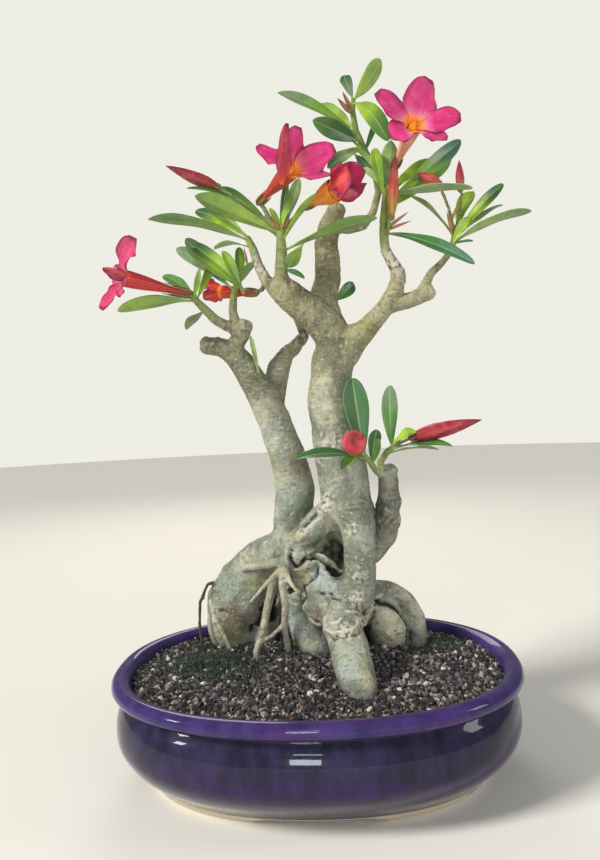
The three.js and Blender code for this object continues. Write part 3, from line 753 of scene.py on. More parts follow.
def make_pot():
    section = rounded(POT_SECTION, SECTION_STEPS)
    points, faces = loft([pot_outline(inset, height) for inset, height in section])
    raise_foot_arch(points)
    make_wavy(points)
    shells = Shells()
    shells.add(points, faces, lip=smoothstep(points[:, 2], LIP_FOOT, LIP_FULL))
    mesh = shells.mesh("glazed_pot")
    for side in (-1, 1):
        centre = at(side * DRAIN_X, 0, FLOOR_TOP / 2)
        mesh = drilled(mesh, centre, DRAIN_RADIUS * MM, 2 * FLOOR_TOP * MM)
    place("glazed_pot", mesh, "glaze", ["pot"], [glaze_shader(), clay_shader()])
    for face in mesh.polygons:
        height = face.center.z / MM + GLAZE_RUN * noise.noise(face.center / GLAZE_RUN_SIZE)
        underneath = height < BARE_UNDER and face.normal.z < -0.5
        face.material_index = 1 if height < GLAZE_EDGE or underneath else 0


def finish_drain_screens():
    material = screen_shader()
    for node in ("drain_screen_left", "drain_screen_right"):
        mesh = NODES[node].data
        mesh.materials.clear()
        mesh.materials.append(material)


# ---- Soil and moss ----

SOIL_MESH = 2.6 * MM
SOIL_TOP_LEAST = 71 * MM
GRAIN_SPACING = 2.95 * MM
ROW_SPACING = 0.87 * GRAIN_SPACING
GRAIN_JITTER = 0.4 * GRAIN_SPACING
GRAIN_SIZES = (1.15, 3.0)  # half of a grain's length, in millimetres
FINE_GRAINS = 3800
FINE_SIZES = (0.6, 1.1)
GRAINS_ON_MOSS = 55
# colour and how common it is
GRAIN_COLOURS = [
    ((0.018, 0.018, 0.018), 0.30),
    ((0.040, 0.036, 0.034), 0.22),
    ((0.080, 0.078, 0.086), 0.16),
    ((0.130, 0.118, 0.120), 0.09),
    ((0.180, 0.140, 0.105), 0.11),
    ((0.340, 0.290, 0.260), 0.11),
    ((0.600, 0.540, 0.520), 0.045),
    ((0.110, 0.060, 0.040), 0.02),
]

MOSS_MESH = 1.4 * MM
# moss node: how many shoots stand on it, how many are tried on the soil round about, and how
# far out those reach, in the node's own half-widths
MOSS_SHOOTS = {"moss_left": (1500, 6000, 3.0), "moss_right": (600, 1300, 2.1)}
SHOOT_SIDES = 3
SHOOT_HEIGHTS = (1.3, 3.0)
SHOOT_SUNK, SHOOT_LIFT = -0.4 * MM, 1.3 * MM  # on the moss, and among the grains of the soil
MOSS_CLUMPS = 9 * MM


def grain_shapes(rng, centres, sizes):
    """Crushed stones: twenty-sided lumps, each stretched, dented and turned its own way."""
    solid = bmesh.new()
    bmesh.ops.create_icosphere(solid, subdivisions=1, radius=1)
    base = np.array([v.co for v in solid.verts])
    faces = np.array([[v.index for v in face.verts] for face in solid.faces])
    solid.free()
    count = len(centres)
    lumps = base[None] * rng.uniform(0.72, 1.18, (count, len(base), 1))
    lumps *= rng.uniform((1, 0.75, 0.5), (1.15, 1, 0.85), (count, 3))[:, None, :] * sizes[:, None, None]
    turned, _ = np.linalg.qr(rng.normal(size=(count, 3, 3)))
    points = np.einsum("nij,nkj->nki", turned, lumps) + centres[:, None, :]
    starts = np.arange(count)[:, None, None] * len(base)
    return points.reshape(-1, 3), (faces[None] + starts).reshape(-1, 3).tolist()


def dropped(x, y, *grounds):
    """Where something that falls at a place comes to rest, or None off the soil."""
    hits = [ground.ray_cast(Vector((x, y, 1)), Vector((0, 0, -1)))[0] for ground in grounds]
    heights = [hit.z for hit in hits if hit]
    if heights and max(heights) > SOIL_TOP_LEAST:
        return Vector((x, y, max(heights)))


def strew(name, seed, spots, sizes, sink, material, *mounds):
    """One piece of many grains, which lie on the soil and its mounds at the given places."""
    rng = np.random.default_rng(seed)
    grounds = [surface_tree(node) for node in ("soil", *mounds)]
    rests = [dropped(x, y, *grounds) for x, y in spots]
    centres = np.array([rest for rest in rests if rest])
    count = len(centres)
    radii = rng.uniform(*sizes, count) * MM
    centres[:, 2] += radii * rng.uniform(*sink, count)
    points, faces = grain_shapes(rng, centres, radii)
    palette = np.array([colour for colour, _ in GRAIN_COLOURS])
    common = np.array([share for _, share in GRAIN_COLOURS])
    colours = palette[rng.choice(len(palette), count, p=common / common.sum())]
    colours = colours * rng.uniform(0.75, 1.3, (count, 1))
    mesh = new_mesh(name, points, faces)
    paint(mesh, "grain", np.repeat(colours, len(points) // count, axis=0))
    turn_outward(mesh)
    place(name, mesh, "soil", [], [material], smooth=False)


def make_soil():
    mesh = remeshed("soil", SOIL_MESH)
    points = read(mesh, "co")
    top = smoothstep(points[:, 2], 66 * MM, SOIL_TOP_LEAST)
    points[:, 2] += top * MM * (0.5 * field(points, 7 * MM) - 0.4)
    write(mesh, points)
    place("soil_bed", mesh, "soil", ["soil"], [soil_shader()])


def make_grit():
    rng = np.random.default_rng(11)
    low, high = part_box("soil")
    rows, columns = int((high.y - low.y) / ROW_SPACING), int((high.x - low.x) / GRAIN_SPACING)
    row, column = np.mgrid[:rows, :columns].reshape(2, -1)
    x = low.x + (column + 0.5 * (row % 2)) * GRAIN_SPACING
    spots = np.column_stack([x, low.y + row * ROW_SPACING])
    spots += rng.uniform(-1, 1, spots.shape) * GRAIN_JITTER
    material = grit_shader()
    strew("grit_coarse", 12, spots, GRAIN_SIZES, (-0.2, 0.6), material)
    fine = rng.uniform((low.x, low.y), (high.x, high.y), (FINE_GRAINS, 2))
    strew("grit_fine", 13, fine, FINE_SIZES, (1.2, 3.4), material)
    for number, node in enumerate(MOSS_SHOOTS):
        low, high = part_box(node)
        loose = rng.uniform((low.x, low.y), (high.x, high.y), (GRAINS_ON_MOSS, 2))
        name = node.replace("moss", "grit_on_moss")
        strew(name, 14 + number, loose, GRAIN_SIZES, (0.0, 0.5), material, node)


def shoot_shapes(rng, roots, heights):
    """Leafy moss shoots: narrow three-sided spikes, each leaning its own way."""
    count = len(roots)
    lean = rng.normal(0, 0.45, (count, 3)) * (1, 1, 0) + (0, 0, 1)
    lean *= (heights / np.linalg.norm(lean, axis=1))[:, None]
    spin = rng.uniform(0, 2 * math.pi, (count, 1)) + turns(SHOOT_SIDES)
    spread = np.stack([np.cos(spin), np.sin(spin), np.zeros_like(spin)], axis=-1)
    waist = roots[:, None] + 0.45 * lean[:, None] + spread * (heights * 0.24)[:, None, None]
    tips = roots + lean
    points = np.concatenate([roots[:, None], waist, tips[:, None]], axis=1)
    around = [(1, 2), (2, 3), (3, 1)]
    pattern = np.array([(0, b, a) for a, b in around] + [(a, b, 4) for a, b in around])
    faces = pattern[None] + np.arange(count)[:, None, None] * points.shape[1]
    return points.reshape(-1, 3), faces.reshape(-1, 3).tolist()


def shoot_roots(rng, node, soil):
    """Where a moss patch's shoots stand: all over it, and in clumps on the soil round about."""
    on_patch, around, reach = MOSS_SHOOTS[node]
    patch = surface_tree(node)
    low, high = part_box(node)
    middle, half = (low + high) / 2, (high - low) / 2
    roots = []
    for number in range(on_patch + around):
        inside = number < on_patch
        angle = rng.uniform(0, 2 * math.pi)
        out = (1 if inside else reach) * math.sqrt(rng.uniform(0, 1))
        x, y = middle.x + out * half.x * math.cos(angle), middle.y + out * half.y * math.sin(angle)
        clump = noise.noise(Vector((x, y, 0)) / MOSS_CLUMPS)
        rest = dropped(x, y, soil, patch) if clump >= 0.35 * (out - 1.7) else None
        if rest:
            roots.append((*rest.xy, rest.z + (SHOOT_SUNK if inside else SHOOT_LIFT)))
    return np.array(roots)


def make_moss():
    material = moss_shader()
    soil = surface_tree("soil")
    for seed, node in enumerate(MOSS_SHOOTS):
        mesh = remeshed(node, MOSS_MESH)
        low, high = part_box(node)
        points = read(mesh, "co")
        upper = smoothstep(points[:, 2], low.z, high.z)
        points[:, 2] += upper * MM * 0.9 * (field(points, 5 * MM) - 0.5)
        write(mesh, points)
        place(node.replace("moss", "moss_cushion"), mesh, "moss", [node], [material])

        rng = np.random.default_rng(21 + seed)
        roots = shoot_roots(rng, node, soil)
        shoots = new_mesh("shoots", *shoot_shapes(rng, roots, rng.uniform(*SHOOT_HEIGHTS, len(roots)) * MM))
        turn_outward(shoots)
        place(node.replace("moss", "moss_shoots"), shoots, "moss", [], [material], smooth=False)


# ---- Bark ----

BARK_MESH = 1.15 * MM
BARK_TRIANGLES = 190_000
SMOOTH_ROUNDS = 60
SMOOTH_REACH = 0.125  # how far a limb is smoothed, as a share of its thickness
THICKEST = 42 * MM
SOIL_LINE = 78 * MM

# Furrows and ridges in the wood: (height, width, the places that they run through), all in
# millimetres from the pot's middle; a furrow's height is negative
CARVED = [
    # The lip that curls under the arch, and its rim
    (-4.0, 2.0, [(-17, 16, 158), (-17, 17, 152), (-14, 18, 147), (-11, 18, 146), (-8, 15, 149),
                 (-5, 16, 152), (0, 19, 153), (6, 17, 152), (12, 16, 149), (16, 18, 147)]),
    (1.8, 2.4, [(-5, 15, 157), (3, 20, 157), (9, 19, 154), (13, 19, 151)]),
    (-1.8, 3.2, [(-17, 16, 157), (-15, 15, 161), (-10, 14, 164), (-3, 14, 166)]),
    # The lobe below it, and the fold from there down to the soil
    (-2.6, 2.2, [(4, 15, 147), (2, 14, 139), (-5, 15, 134), (-10, 20, 129), (-11, 10, 127)]),
    (-4.0, 2.6, [(-12, 10, 127), (-11, 17, 116), (-7, 16, 108), (0, 12, 103), (5, 10, 99)]),
    (-2.0, 1.3, [(4, 7, 127), (9, 7, 126), (16, 4, 124), (23, 1, 122)]),
    # Between the arch and the left limb
    (-2.8, 2.4, [(6, 16, 188), (1, 16, 183), (-3, 17, 180), (-7, 17, 176)]),
    (1.2, 3.0, [(8, 16, 184), (1, 14, 178), (-4, 14, 172), (-9, 14, 169)]),
    # Round the ball at the right, with a rootlet on its shoulder
    (-2.0, 1.8, [(40, 45, 84), (42, 30, 96), (45, 20, 106)]),
    (-5.0, 2.3, [(44, 18, 108), (48, 24, 112), (53, 31, 112), (59, 35, 110), (65, 38, 105),
                 (71, 40, 98), (74, 41, 90), (75, 42, 82), (73, 42, 75)]),
    (2.2, 1.6, [(43, 17, 107), (45, 17, 114), (50, 29, 117), (56, 37, 118)]),
    # The left root mass: its right edge, a fold and the root along its foot
    (-4.5, 3.0, [(-31, 40, 117), (-44, 43, 105), (-50, 46, 94), (-54, 47, 84)]),
    (-2.0, 2.0, [(-82, 36, 106), (-76, 34, 107), (-70, 34, 105)]),
    (1.6, 2.2, [(-90, 45, 118), (-86, 38, 108), (-82, 35, 98)]),
    # The scar round the front root
    (2.4, 1.7, [(9, -4, 103), (14, -11, 102), (20, -15, 102), (27, -15, 104), (32, -11, 108),
                (36, -3, 111)]),
    (-1.8, 1.4, [(10, -7, 99), (16, -15, 98), (23, -18, 99), (30, -17, 101), (36, -11, 104)]),
    (1.6, 1.4, [(13, -7, 108), (18, -10, 110), (21, -9, 114)]),
    (1.4, 1.5, [(23, -5, 116), (30, -6, 117), (36, 0, 114)]),
    (1.2, 1.5, [(27, 0, 123), (33, 2, 124), (37, 8, 122)]),
    # The hole beside the pillar, and the dark gaps among the roots
    (-8.0, 4.5, [(18, 16, 147), (19, 12, 139)]),
    (-6.0, 4.0, [(19, 33, 158), (19, 38, 148)]),
    (-5.0, 4.0, [(-20, 27, 127), (-18, 26, 122)]),
    (-5.0, 4.5, [(-38, 42, 112), (-34, 45, 102), (-34, 46, 92)]),
]

# Painted places: {attribute: [(centre in millimetres from the pot's middle, radius, strength)]}
BARK_PATCHES = {
    "ruddy": [
        ((-66, 36, 104), 15, 0.8), ((4, 8, 110), 9, 0.8), ((-8, 40, 226), 12, 0.5),
        ((2, 26, 332), 12, 0.5), ((64, 33, 92), 6, 0.7), ((40, -47, 79), 9, 0.8),
        ((113, 17, 412), 18, 1.0), ((126, 22, 412), 14, 1.0),
    ],
    "crust": [
        ((24, -14, 103), 12, 1.0), ((34, 0, 106), 12, 0.9), ((33, 3, 122), 11, 0.8),
        ((36, 8, 140), 10, 0.6), ((10, 20, 194), 13, 0.8), ((30, 8, 176), 9, 0.7),
        ((19, 17, 240), 16, 0.5), ((-30, 27, 384), 18, 0.8), ((70, 15, 376), 20, 0.8),
    ],
    "blue": [
        ((6, 12, 137), 13, 1.0), ((13, 8, 129), 12, 0.8), ((0, 13, 176), 8, 0.8),
        ((-15, 25, 100), 15, 0.8), ((-20, 40, 200), 16, 0.6), ((-36, 40, 250), 18, 0.4),
        ((-76, 36, 132), 18, 0.6), ((26, -10, 90), 14, 0.6), ((22, -44, 87), 13, 1.0),
    ],
    # pale buff bark; the strong patches on the ball at the right are painted light that lifts the shade it
    # sits in
    "buff_and_painted_light": [
        ((-24, 42, 212), 18, 0.45), ((-40, 42, 266), 20, 0.45), ((58, 30, 98), 19, 1.0),
        ((62, 32, 88), 20, 1.0), ((84, 41, 100), 18, 0.8), ((70, 43, 117), 14, 0.6),
        ((14, 19, 262), 14, 0.45), ((14, 19, 288), 12, 0.35), ((-30, 40, 236), 14, 0.35),
        ((60, 26, 340), 16, 0.5), ((38, -51, 82), 12, 0.8), ((41, -30, 90), 11, 0.6),
    ],
    "olive": [
        ((-7, 19, 140), 10, 1.0), ((-17, 24, 170), 11, 0.9), ((68, 33, 88), 9, 0.8),
        ((-45, 38, 128), 15, 0.9), ((-70, 38, 90), 18, 0.8), ((44, 24, 330), 20, 0.8),
        ((42, 26, 250), 16, 0.6), ((34, -44, 86), 12, 0.7),
    ],
    # painted shade in the dark hole and gaps beside the pillar
    "crease": [
        ((19, 14, 144), 9, 1.0), ((14, 33, 158), 12, 1.0), ((18, 41, 148), 17, 1.0),
    ],
    "mossy": [
        ((-72, 34, 104), 22, 0.6), ((-58, 36, 122), 20, 0.5), ((42, 18, 300), 18, 0.5),
        ((4, 14, 165), 14, 1.0), ((-8, 26, 172), 12, 0.6), ((30, 20, 262), 16, 0.5),
        ((16, 32, 166), 10, 0.7), ((30, 8, 160), 11, 0.6), ((46, 28, 235), 15, 0.6),
        ((-44, 40, 130), 12, 0.4), ((-30, 42, 230), 14, 0.5), ((-40, 42, 292), 14, 0.45),
    ],
    # dead, dark wood on stubs and old limbs; the first two patches, low on the left root mass, are painted
    # shade on its underside
    "dead_wood_and_shade": [
        ((-56, 42, 96), 15, 0.5), ((-66, 36, 86), 11, 0.35), ((62, 38, 186), 42, 0.8),
        ((62, 38, 216), 14, 0.8), ((-74, 43, 322), 16, 0.7), ((-62, 43, 300), 14, 0.4),
        ((-48, 42, 336), 9, 0.6), ((-8, 70, 330), 18, 0.6), ((-22, 25, 364), 8, 0.6),
        ((13, 22, 356), 18, 0.6), ((19, 44, 378), 15, 0.6), ((-28, 28, 388), 16, 0.5),
    ],
    "young": [
        ((65, 12, 412), 24, 1.0), ((66, 11, 398), 14, 0.8), ((-45, 16, 426), 14, 1.0),
        ((-32, 16, 412), 14, 1.0), ((-20, 17, 404), 10, 0.8),
    ],
}
KNOBBLY = [  # stretches with a rough, knotted surface: [centre, radius]
    ((62, 38, 180), 26), ((62, 38, 212), 14), ((-74, 43, 321), 15), ((-49, 42, 334), 12),
    ((72, 16, 362), 16), ((-8, 68, 326), 18), ((33, 4, 106), 11), ((22, -10, 100), 9),
    ((34, 2, 122), 9), ((10, 20, 194), 9),
]


def thickness_of(points, normals, tree):
    """How thick the wood is behind each point, measured straight in from the bark."""
    values = np.full(len(points), THICKEST)
    for number, (point, normal) in enumerate(zip(points, normals)):
        inward = Vector(-normal)
        distance = tree.ray_cast(Vector(point) + inward * 0.2 * MM, inward)[3]
        if distance is not None:
            values[number] = min(distance, THICKEST)
    return values


def near(points, centre, radius):
    """1 at a place, falling smoothly to 0 at a distance; both in millimetres."""
    distance = np.linalg.norm(points - np.array(at(*centre)), axis=1)
    return 1 - smoothstep(distance, 0.25 * radius * MM, radius * MM)


def nearest_corner(points, wood):
    """The corner of a solid that lies nearest to the wood."""
    return points[np.argmin([wood.find_nearest(Vector(p))[3] for p in points])]


def from_growth(points, wood):
    """How far each point of the bark is from the nearest leaf, flower or bud, in millimetres."""
    growths = [node for node in NODES if node.startswith(("leaf_", "flower_", "bud_"))]
    ends = KDTree(len(growths))
    for number, node in enumerate(growths):
        ends.insert(Vector(nearest_corner(corners(node), wood)), number)
    ends.balance()
    return np.array([ends.find(Vector(p))[2] for p in points]) / MM


def limb_directions(normals, spread):
    """The way that the limb runs under each point: the way in which its bark hardly turns."""
    products = np.einsum("ni,nj->nij", normals, normals).reshape(-1, 9)
    around = spread.relax(products, 14).reshape(-1, 3, 3)
    return np.linalg.eigh(around)[1][:, :, 0]


def bark_rings(mesh, points, normals, spread):
    """Fine wrinkles that run round each limb: random values spread only across its length."""
    rng = np.random.default_rng(31)
    along = limb_directions(normals, spread)
    edge = points[spread.b] - points[spread.a]
    edge /= np.maximum(np.linalg.norm(edge, axis=1), 1e-9)[:, None]
    slant = np.abs(np.einsum("ni,ni->n", edge, along[spread.a]))
    round_the_limb = Spread(mesh, np.maximum(1 - slant, 0) ** 6 + 1e-4)
    values = round_the_limb.relax(rng.normal(size=len(points)), 18, 0.7)
    values = spread.relax(values, 1, 0.4)
    return np.clip(values / values.std(), -2.5, 2.5)


def traced(path, tree):
    """Closely spaced places on the wood along a path, and the ways that the wood faces there."""
    path = np.array([at(*corner) for corner in path])
    spots, facing = [], []
    for start, end in zip(path, path[1:]):
        for share in np.arange(0, 1, 0.12):
            spot, normal = tree.find_nearest(Vector(start + share * (end - start)))[:2]
            spots.append(spot)
            facing.append(normal)
    return np.array(spots), np.array(facing)


def carve(points, normals, tree):
    """Cuts the furrows and raises the ridges; returns the relief's height at each point."""
    moves, relief = np.zeros_like(points), np.zeros(len(points))
    for height, width, path in CARVED:
        spots, facing = traced(path, tree)
        reach = 2.5 * width * MM
        boxed = (points > spots.min(axis=0) - reach) & (points < spots.max(axis=0) + reach)
        chosen = np.flatnonzero(boxed.all(axis=1))
        gaps = np.linalg.norm(points[chosen, None] - spots, axis=2)
        nearest = gaps.argmin(axis=1)
        from_end = np.minimum(nearest, len(spots) - 1 - nearest) / len(spots)
        weight = np.exp(-(gaps.min(axis=1) / (width * MM)) ** 2) * smoothstep(from_end, -0.1, 0.15)
        alike = np.einsum("ni,ni->n", normals[chosen], facing[nearest])
        weight *= smoothstep(alike, -0.1, 0.4)
        moves[chosen] += facing[nearest] * (height * MM * weight)[:, None]
        relief[chosen] += height * weight
    points += moves
    return relief


def round_off(mesh, spread, thickness):
    """Rounds off the solid's flat sides, then gives back what the limbs lost in girth."""
    raw = read(mesh, "co")
    share = 2 * (SMOOTH_REACH * thickness) ** 2 / (SMOOTH_ROUNDS * BARK_MESH ** 2)
    points = spread.relax(raw, SMOOTH_ROUNDS, np.clip(share, 0.01, 0.9))
    write(mesh, points)
    normals = read(mesh, "normal")
    lost = np.einsum("ni,ni->n", raw - points, normals)
    return points + normals * spread.relax(lost, SMOOTH_ROUNDS // 2)[:, None], normals


def roughness(points, rings, thickness):
    """How far the bark stands out at each point, in millimetres: swellings, knots and rings."""
    girth = np.clip(thickness / THICKEST, 0.08, 1)
    knobbly = np.max([near(points, centre, radius) for centre, radius in KNOBBLY], axis=0)
    lumps = field(points, 26 * MM, 2) * 1.5 * girth
    lumps += field(points, 8 * MM, 3) * (0.40 * np.sqrt(girth) + 1.0 * knobbly)
    knots = 1 - np.abs(field(points + 0.5, 5 * MM, 2)) * 2
    lumps += knots * 0.6 * knobbly
    upper = smoothstep(points[:, 2], 140 * MM, 260 * MM)
    return lumps + rings * 0.12 * np.clip(girth * 3, 0.4, 1) * (0.55 + 0.45 * upper)


def bark_looks(points, thickness, hollow, relief, rings, wood):
    """The share of each of the bark's colours at each point; some are painted shade in its hollows, furrows
    and gaps, and some painted light on its ridges and on the shaded ball.
    """
    height = points[:, 2]
    thin = 1 - smoothstep(thickness, 5 * MM, 9 * MM)
    low = 1 - smoothstep(height, 145 * MM, 165 * MM)
    buried = 1 - smoothstep(height, SOIL_LINE - 4 * MM, SOIL_LINE + 8 * MM)
    aerial = thin * low * smoothstep(-points[:, 0], 89 * MM, 92 * MM)
    reach = from_growth(points, wood)
    young = (1 - smoothstep(reach, 4, 20)) * (1 - smoothstep(thickness, 7 * MM, 13 * MM))
    cloud = field(points, 7 * MM)
    looks = {
        # painted shade: dark in hollows, in carved furrows and where the bark meets the soil
        "crease": np.clip(smoothstep(hollow, 0.2, 1.1) + smoothstep(-relief, 0.8, 4) + 0.5 * buried, 0, 1),
        # painted highlight on rounded ridges and raised carving, on all but the thin roots
        "painted_ridge_light": (1 - thin) * (0.5 * smoothstep(-hollow, 0.12, 0.6) + 0.4 * smoothstep(relief, 0.4, 1.6)),
        "rings": 0.55 * smoothstep(-rings, 0.5, 2.0),
        "young": young * (1 - low) * np.clip(0.8 + 0.5 * cloud, 0, 1),
        "pale": thin * low * (1 - aerial) * np.clip(0.5 + 0.6 * cloud, 0.1, 0.8),
        "dead_wood_and_shade": aerial,
    }
    for look, patches in BARK_PATCHES.items():
        looks.setdefault(look, np.zeros(len(points)))
        for centre, radius, strength in patches:
            patch = strength * np.clip(near(points, centre, radius) * (0.75 + 0.6 * cloud), 0, 1)
            looks[look] = np.maximum(looks[look], patch)
    return looks


def make_trunk():
    mesh = remeshed("trunk", BARK_MESH)
    spread = Spread(mesh)
    wood = surface_tree("trunk")
    thickness = spread.relax(thickness_of(read(mesh, "co"), read(mesh, "normal"), wood), 12)
    points, normals = round_off(mesh, spread, thickness)
    relief = carve(points, normals, wood)
    rings = bark_rings(mesh, points, normals, spread)
    points += normals * (roughness(points, rings, thickness) * MM)[:, None]
    write(mesh, points)

    hollow = np.einsum("ni,ni->n", spread.relax(points, 10) - points, read(mesh, "normal")) / MM
    for look, share in bark_looks(points, thickness, hollow, relief, rings, wood).items():
        paint(mesh, look, share)
    place("bark", thinned(mesh, BARK_TRIANGLES), "bark", ["trunk"], [bark_shader()])


# ---- Leaves ----

LEAF_STATIONS = 30
LEAF_ACROSS = 7  # points from the midrib to the margin
LEAF_PLUMP = 0.45 * MM  # half of the blade's thickness beside the midrib
MIDRIB = 0.35 * MM
STALK = 0.9 * MM
STALK_SUNK = 2.2 * MM

TINTS = {
    "bright": (0.290, 0.440, 0.022),
    "fresh": (0.155, 0.305, 0.026),
    "mid": (0.080, 0.205, 0.034),
    "dark": (0.030, 0.118, 0.032),
    "blue": (0.055, 0.155, 0.095),
    "grey": (0.160, 0.225, 0.125),
    "pale": (0.300, 0.400, 0.150),
}
# Each leaf's tint near its stalk and near its tip
LEAF_TINTS = {
    "leaf_centre": [
        ("bright", "fresh"), ("fresh", "dark"), ("grey", "pale"), ("bright", "bright"),
        ("fresh", "mid"), ("bright", "fresh"),
    ],
    "leaf_upper_left": [("fresh", "blue"), ("bright", "dark"), ("pale", "fresh")],
    "leaf_mid_left": [("bright", "dark"), ("grey", "grey"), ("fresh", "mid"), ("fresh", "mid")],
    "leaf_low_left": [("fresh", "bright"), ("bright", "blue"), ("mid", "mid"), ("dark", "grey")],
    "leaf_top": [
        ("bright", "fresh"), ("grey", "dark"), ("fresh", "grey"), ("bright", "bright"),
        ("dark", "mid"), ("bright", "mid"), ("pale", "dark"), ("dark", "blue"),
    ],
    "leaf_right": [
        ("pale", "pale"), ("fresh", "blue"), ("fresh", "fresh"), ("grey", "grey"), ("dark", "blue"),
    ],
    "leaf_far_right": [
        ("bright", "bright"), ("bright", "dark"), ("fresh", "mid"), ("pale", "grey"), ("pale", "pale"),
    ],
    "leaf_back": [("mid", "dark")],
    "leaf_shoot": [
        ("dark", "dark"), ("mid", "grey"), ("dark", "dark"), ("dark", "dark"), ("dark", "mid"),
        ("fresh", "fresh"),
    ],
}
# Leaves whose sides roll in, so that they look narrower
SLIMMER = {"leaf_right_5": 0.72, "leaf_far_right_2": 0.8, "leaf_right_2": 0.85}


class LeafFrame:
    """Where a blade lies: its stalk, its tip, the ways it faces, its width and its arch."""

    def __init__(self, base, tip, side, face, width, arch, fold=0.22):
        self.base, self.tip, self.width = base, tip, width
        self.length = np.linalg.norm(tip - base)
        self.along = unit(tip - base)
        self.side = unit(side - self.along * (side @ self.along))
        self.face = np.cross(self.side, self.along)
        if self.face @ face < 0:
            self.face = -self.face
        self.arch, self.fold = arch, fold


def mirror_side(points, along):
    """The direction across a leaf, about whose middle most of the solid's corners are mirrored."""
    first, second = np.triu_indices(len(points), 1)
    apart = points[second] - points[first]
    length = np.linalg.norm(apart, axis=1)
    square = (np.abs(apart @ along) < 0.25 * length) & (length > 1.5 * MM)
    best = (-1, None, None)
    for a, b in zip(first[square], second[square]):
        middle = (points[a] + points[b]) / 2
        side = unit(points[b] - points[a])
        mirrored = points - 2 * np.outer((points - middle) @ side, side)
        gaps = np.linalg.norm(mirrored[:, None] - points[None], axis=2).min(axis=1)
        matched = np.count_nonzero(gaps < 0.08 * MM)
        if matched > best[0]:
            best = (matched, middle, side)
    return best[1], best[2]


def leaf_frame(points, heart):
    """Reads a leaf's frame off its CAD solid, whose sections are folded about a middle plane."""
    apart = np.linalg.norm(points[:, None] - points[None], axis=2)
    ends = np.unravel_index(np.argmax(apart), apart.shape)
    middle, side = mirror_side(points, unit(points[ends[1]] - points[ends[0]]))
    across = np.abs((points - middle) @ side)
    spine = points[across < 0.06 * MM]
    last = max(ends, key=lambda end: np.linalg.norm(points[end] - heart))
    tip = points[apart[last] < 1.2 * MM].mean(axis=0)
    base = spine[np.argmax(np.linalg.norm(spine - tip, axis=1))]
    base = spine[np.linalg.norm(spine - base, axis=1) < 2.5 * MM].mean(axis=0)

    length = np.linalg.norm(tip - base)
    along = unit(tip - base)
    face = np.cross(side, along)
    share = (points - base) @ along / length
    bow = 4 * share * (1 - share)
    rise = (points - base) @ face / length
    inside = (across < 0.06 * MM) & (share > 0.1) & (share < 0.95)
    arch = (rise[inside] @ bow[inside]) / (bow[inside] @ bow[inside])
    edge = (across > 1.5 * MM) & (share > 0.1)
    if np.mean(rise[edge] - arch * bow[edge]) < 0:
        face, arch = -face, -arch
    return LeafFrame(base, tip, side, face, 2 * across.max(), arch)


def blade(shells, leaf, tints, rng):
    """One blade: a thin closed sheet folded at its midrib, with a wavy margin and a small point."""
    start = leaf.base - leaf.along * STALK_SUNK
    t = 1 - (1 - np.linspace(0, 1, LEAF_STATIONS)) ** 1.4
    swell = np.sin(math.pi * t ** rng.uniform(1.55, 1.85)) ** rng.uniform(0.48, 0.60)
    half = np.maximum(leaf.width / 2 * swell, STALK * (1 - smoothstep(t, 0.5, 1.0)))
    half[-1] = 0.12 * MM
    bow = 4 * t * (1 - t)
    sickle = rng.uniform(-0.035, 0.035) * leaf.length
    spine = start + np.outer(t, leaf.tip - start)
    spine += np.outer(bow * leaf.arch * leaf.length, leaf.face) + np.outer(bow * sickle, leaf.side)
    turn = rng.uniform(-0.3, 0.3) * (t - 0.5)
    side = np.outer(np.cos(turn), leaf.side) + np.outer(np.sin(turn), leaf.face)
    face = np.outer(np.cos(turn), leaf.face) - np.outer(np.sin(turn), leaf.side)

    u, above, sign = sheet_grid(LEAF_ACROSS)
    across = np.abs(u)
    t = t[:, None]
    opened = smoothstep(t, 0.04, 0.2)
    stalk = (1 - opened) * STALK * np.sqrt(1 - u ** 2)
    thick = opened * LEAF_PLUMP * (0.35 + 0.65 * (1 - u ** 2)) + stalk
    thick *= 1 - 0.6 * smoothstep(t, 0.85, 1.0)
    fold = leaf.fold * rng.uniform(0.7, 1.6) * half[:, None] * across ** 1.25
    phase, beats = rng.uniform(0, 2 * math.pi), rng.uniform(7, 12)
    ripple = 0.045 * leaf.width * np.sin(beats * t + phase + 1.5 * u) * across ** 2 * opened
    veins = np.cos(2 * math.pi * (11 * t + 2.2 * across)) * across * (1 - across) * opened
    rib = MIDRIB * np.exp(-(u / 0.13) ** 2) * (1 - 0.7 * t) * opened * (1 - 0.5 * above)
    height = fold + ripple + 0.06 * MM * veins + sign * thick - rib
    rings = spine[:, None] + side[:, None] * (half[:, None] * u)[..., None]
    rings = rings + face[:, None] * height[..., None]

    near_tint, tip_tint = (np.array(TINTS[tint]) * rng.uniform(0.9, 1.12) for tint in tints)
    share = smoothstep(t, 0.45, 0.85)[..., None]
    tint = near_tint * (1 - share) + tip_tint * share
    # one half of each blade is painted lighter and the other darker, as painted light and shade on the two
    # sides of its fold
    tint = tint * (1 + rng.uniform(-0.2, 0.2) * np.sign(u))[None, :, None]
    shells.skin(rings, along=t, across=across, above=above, veins=0.5 + 2 * veins, tint=tint)


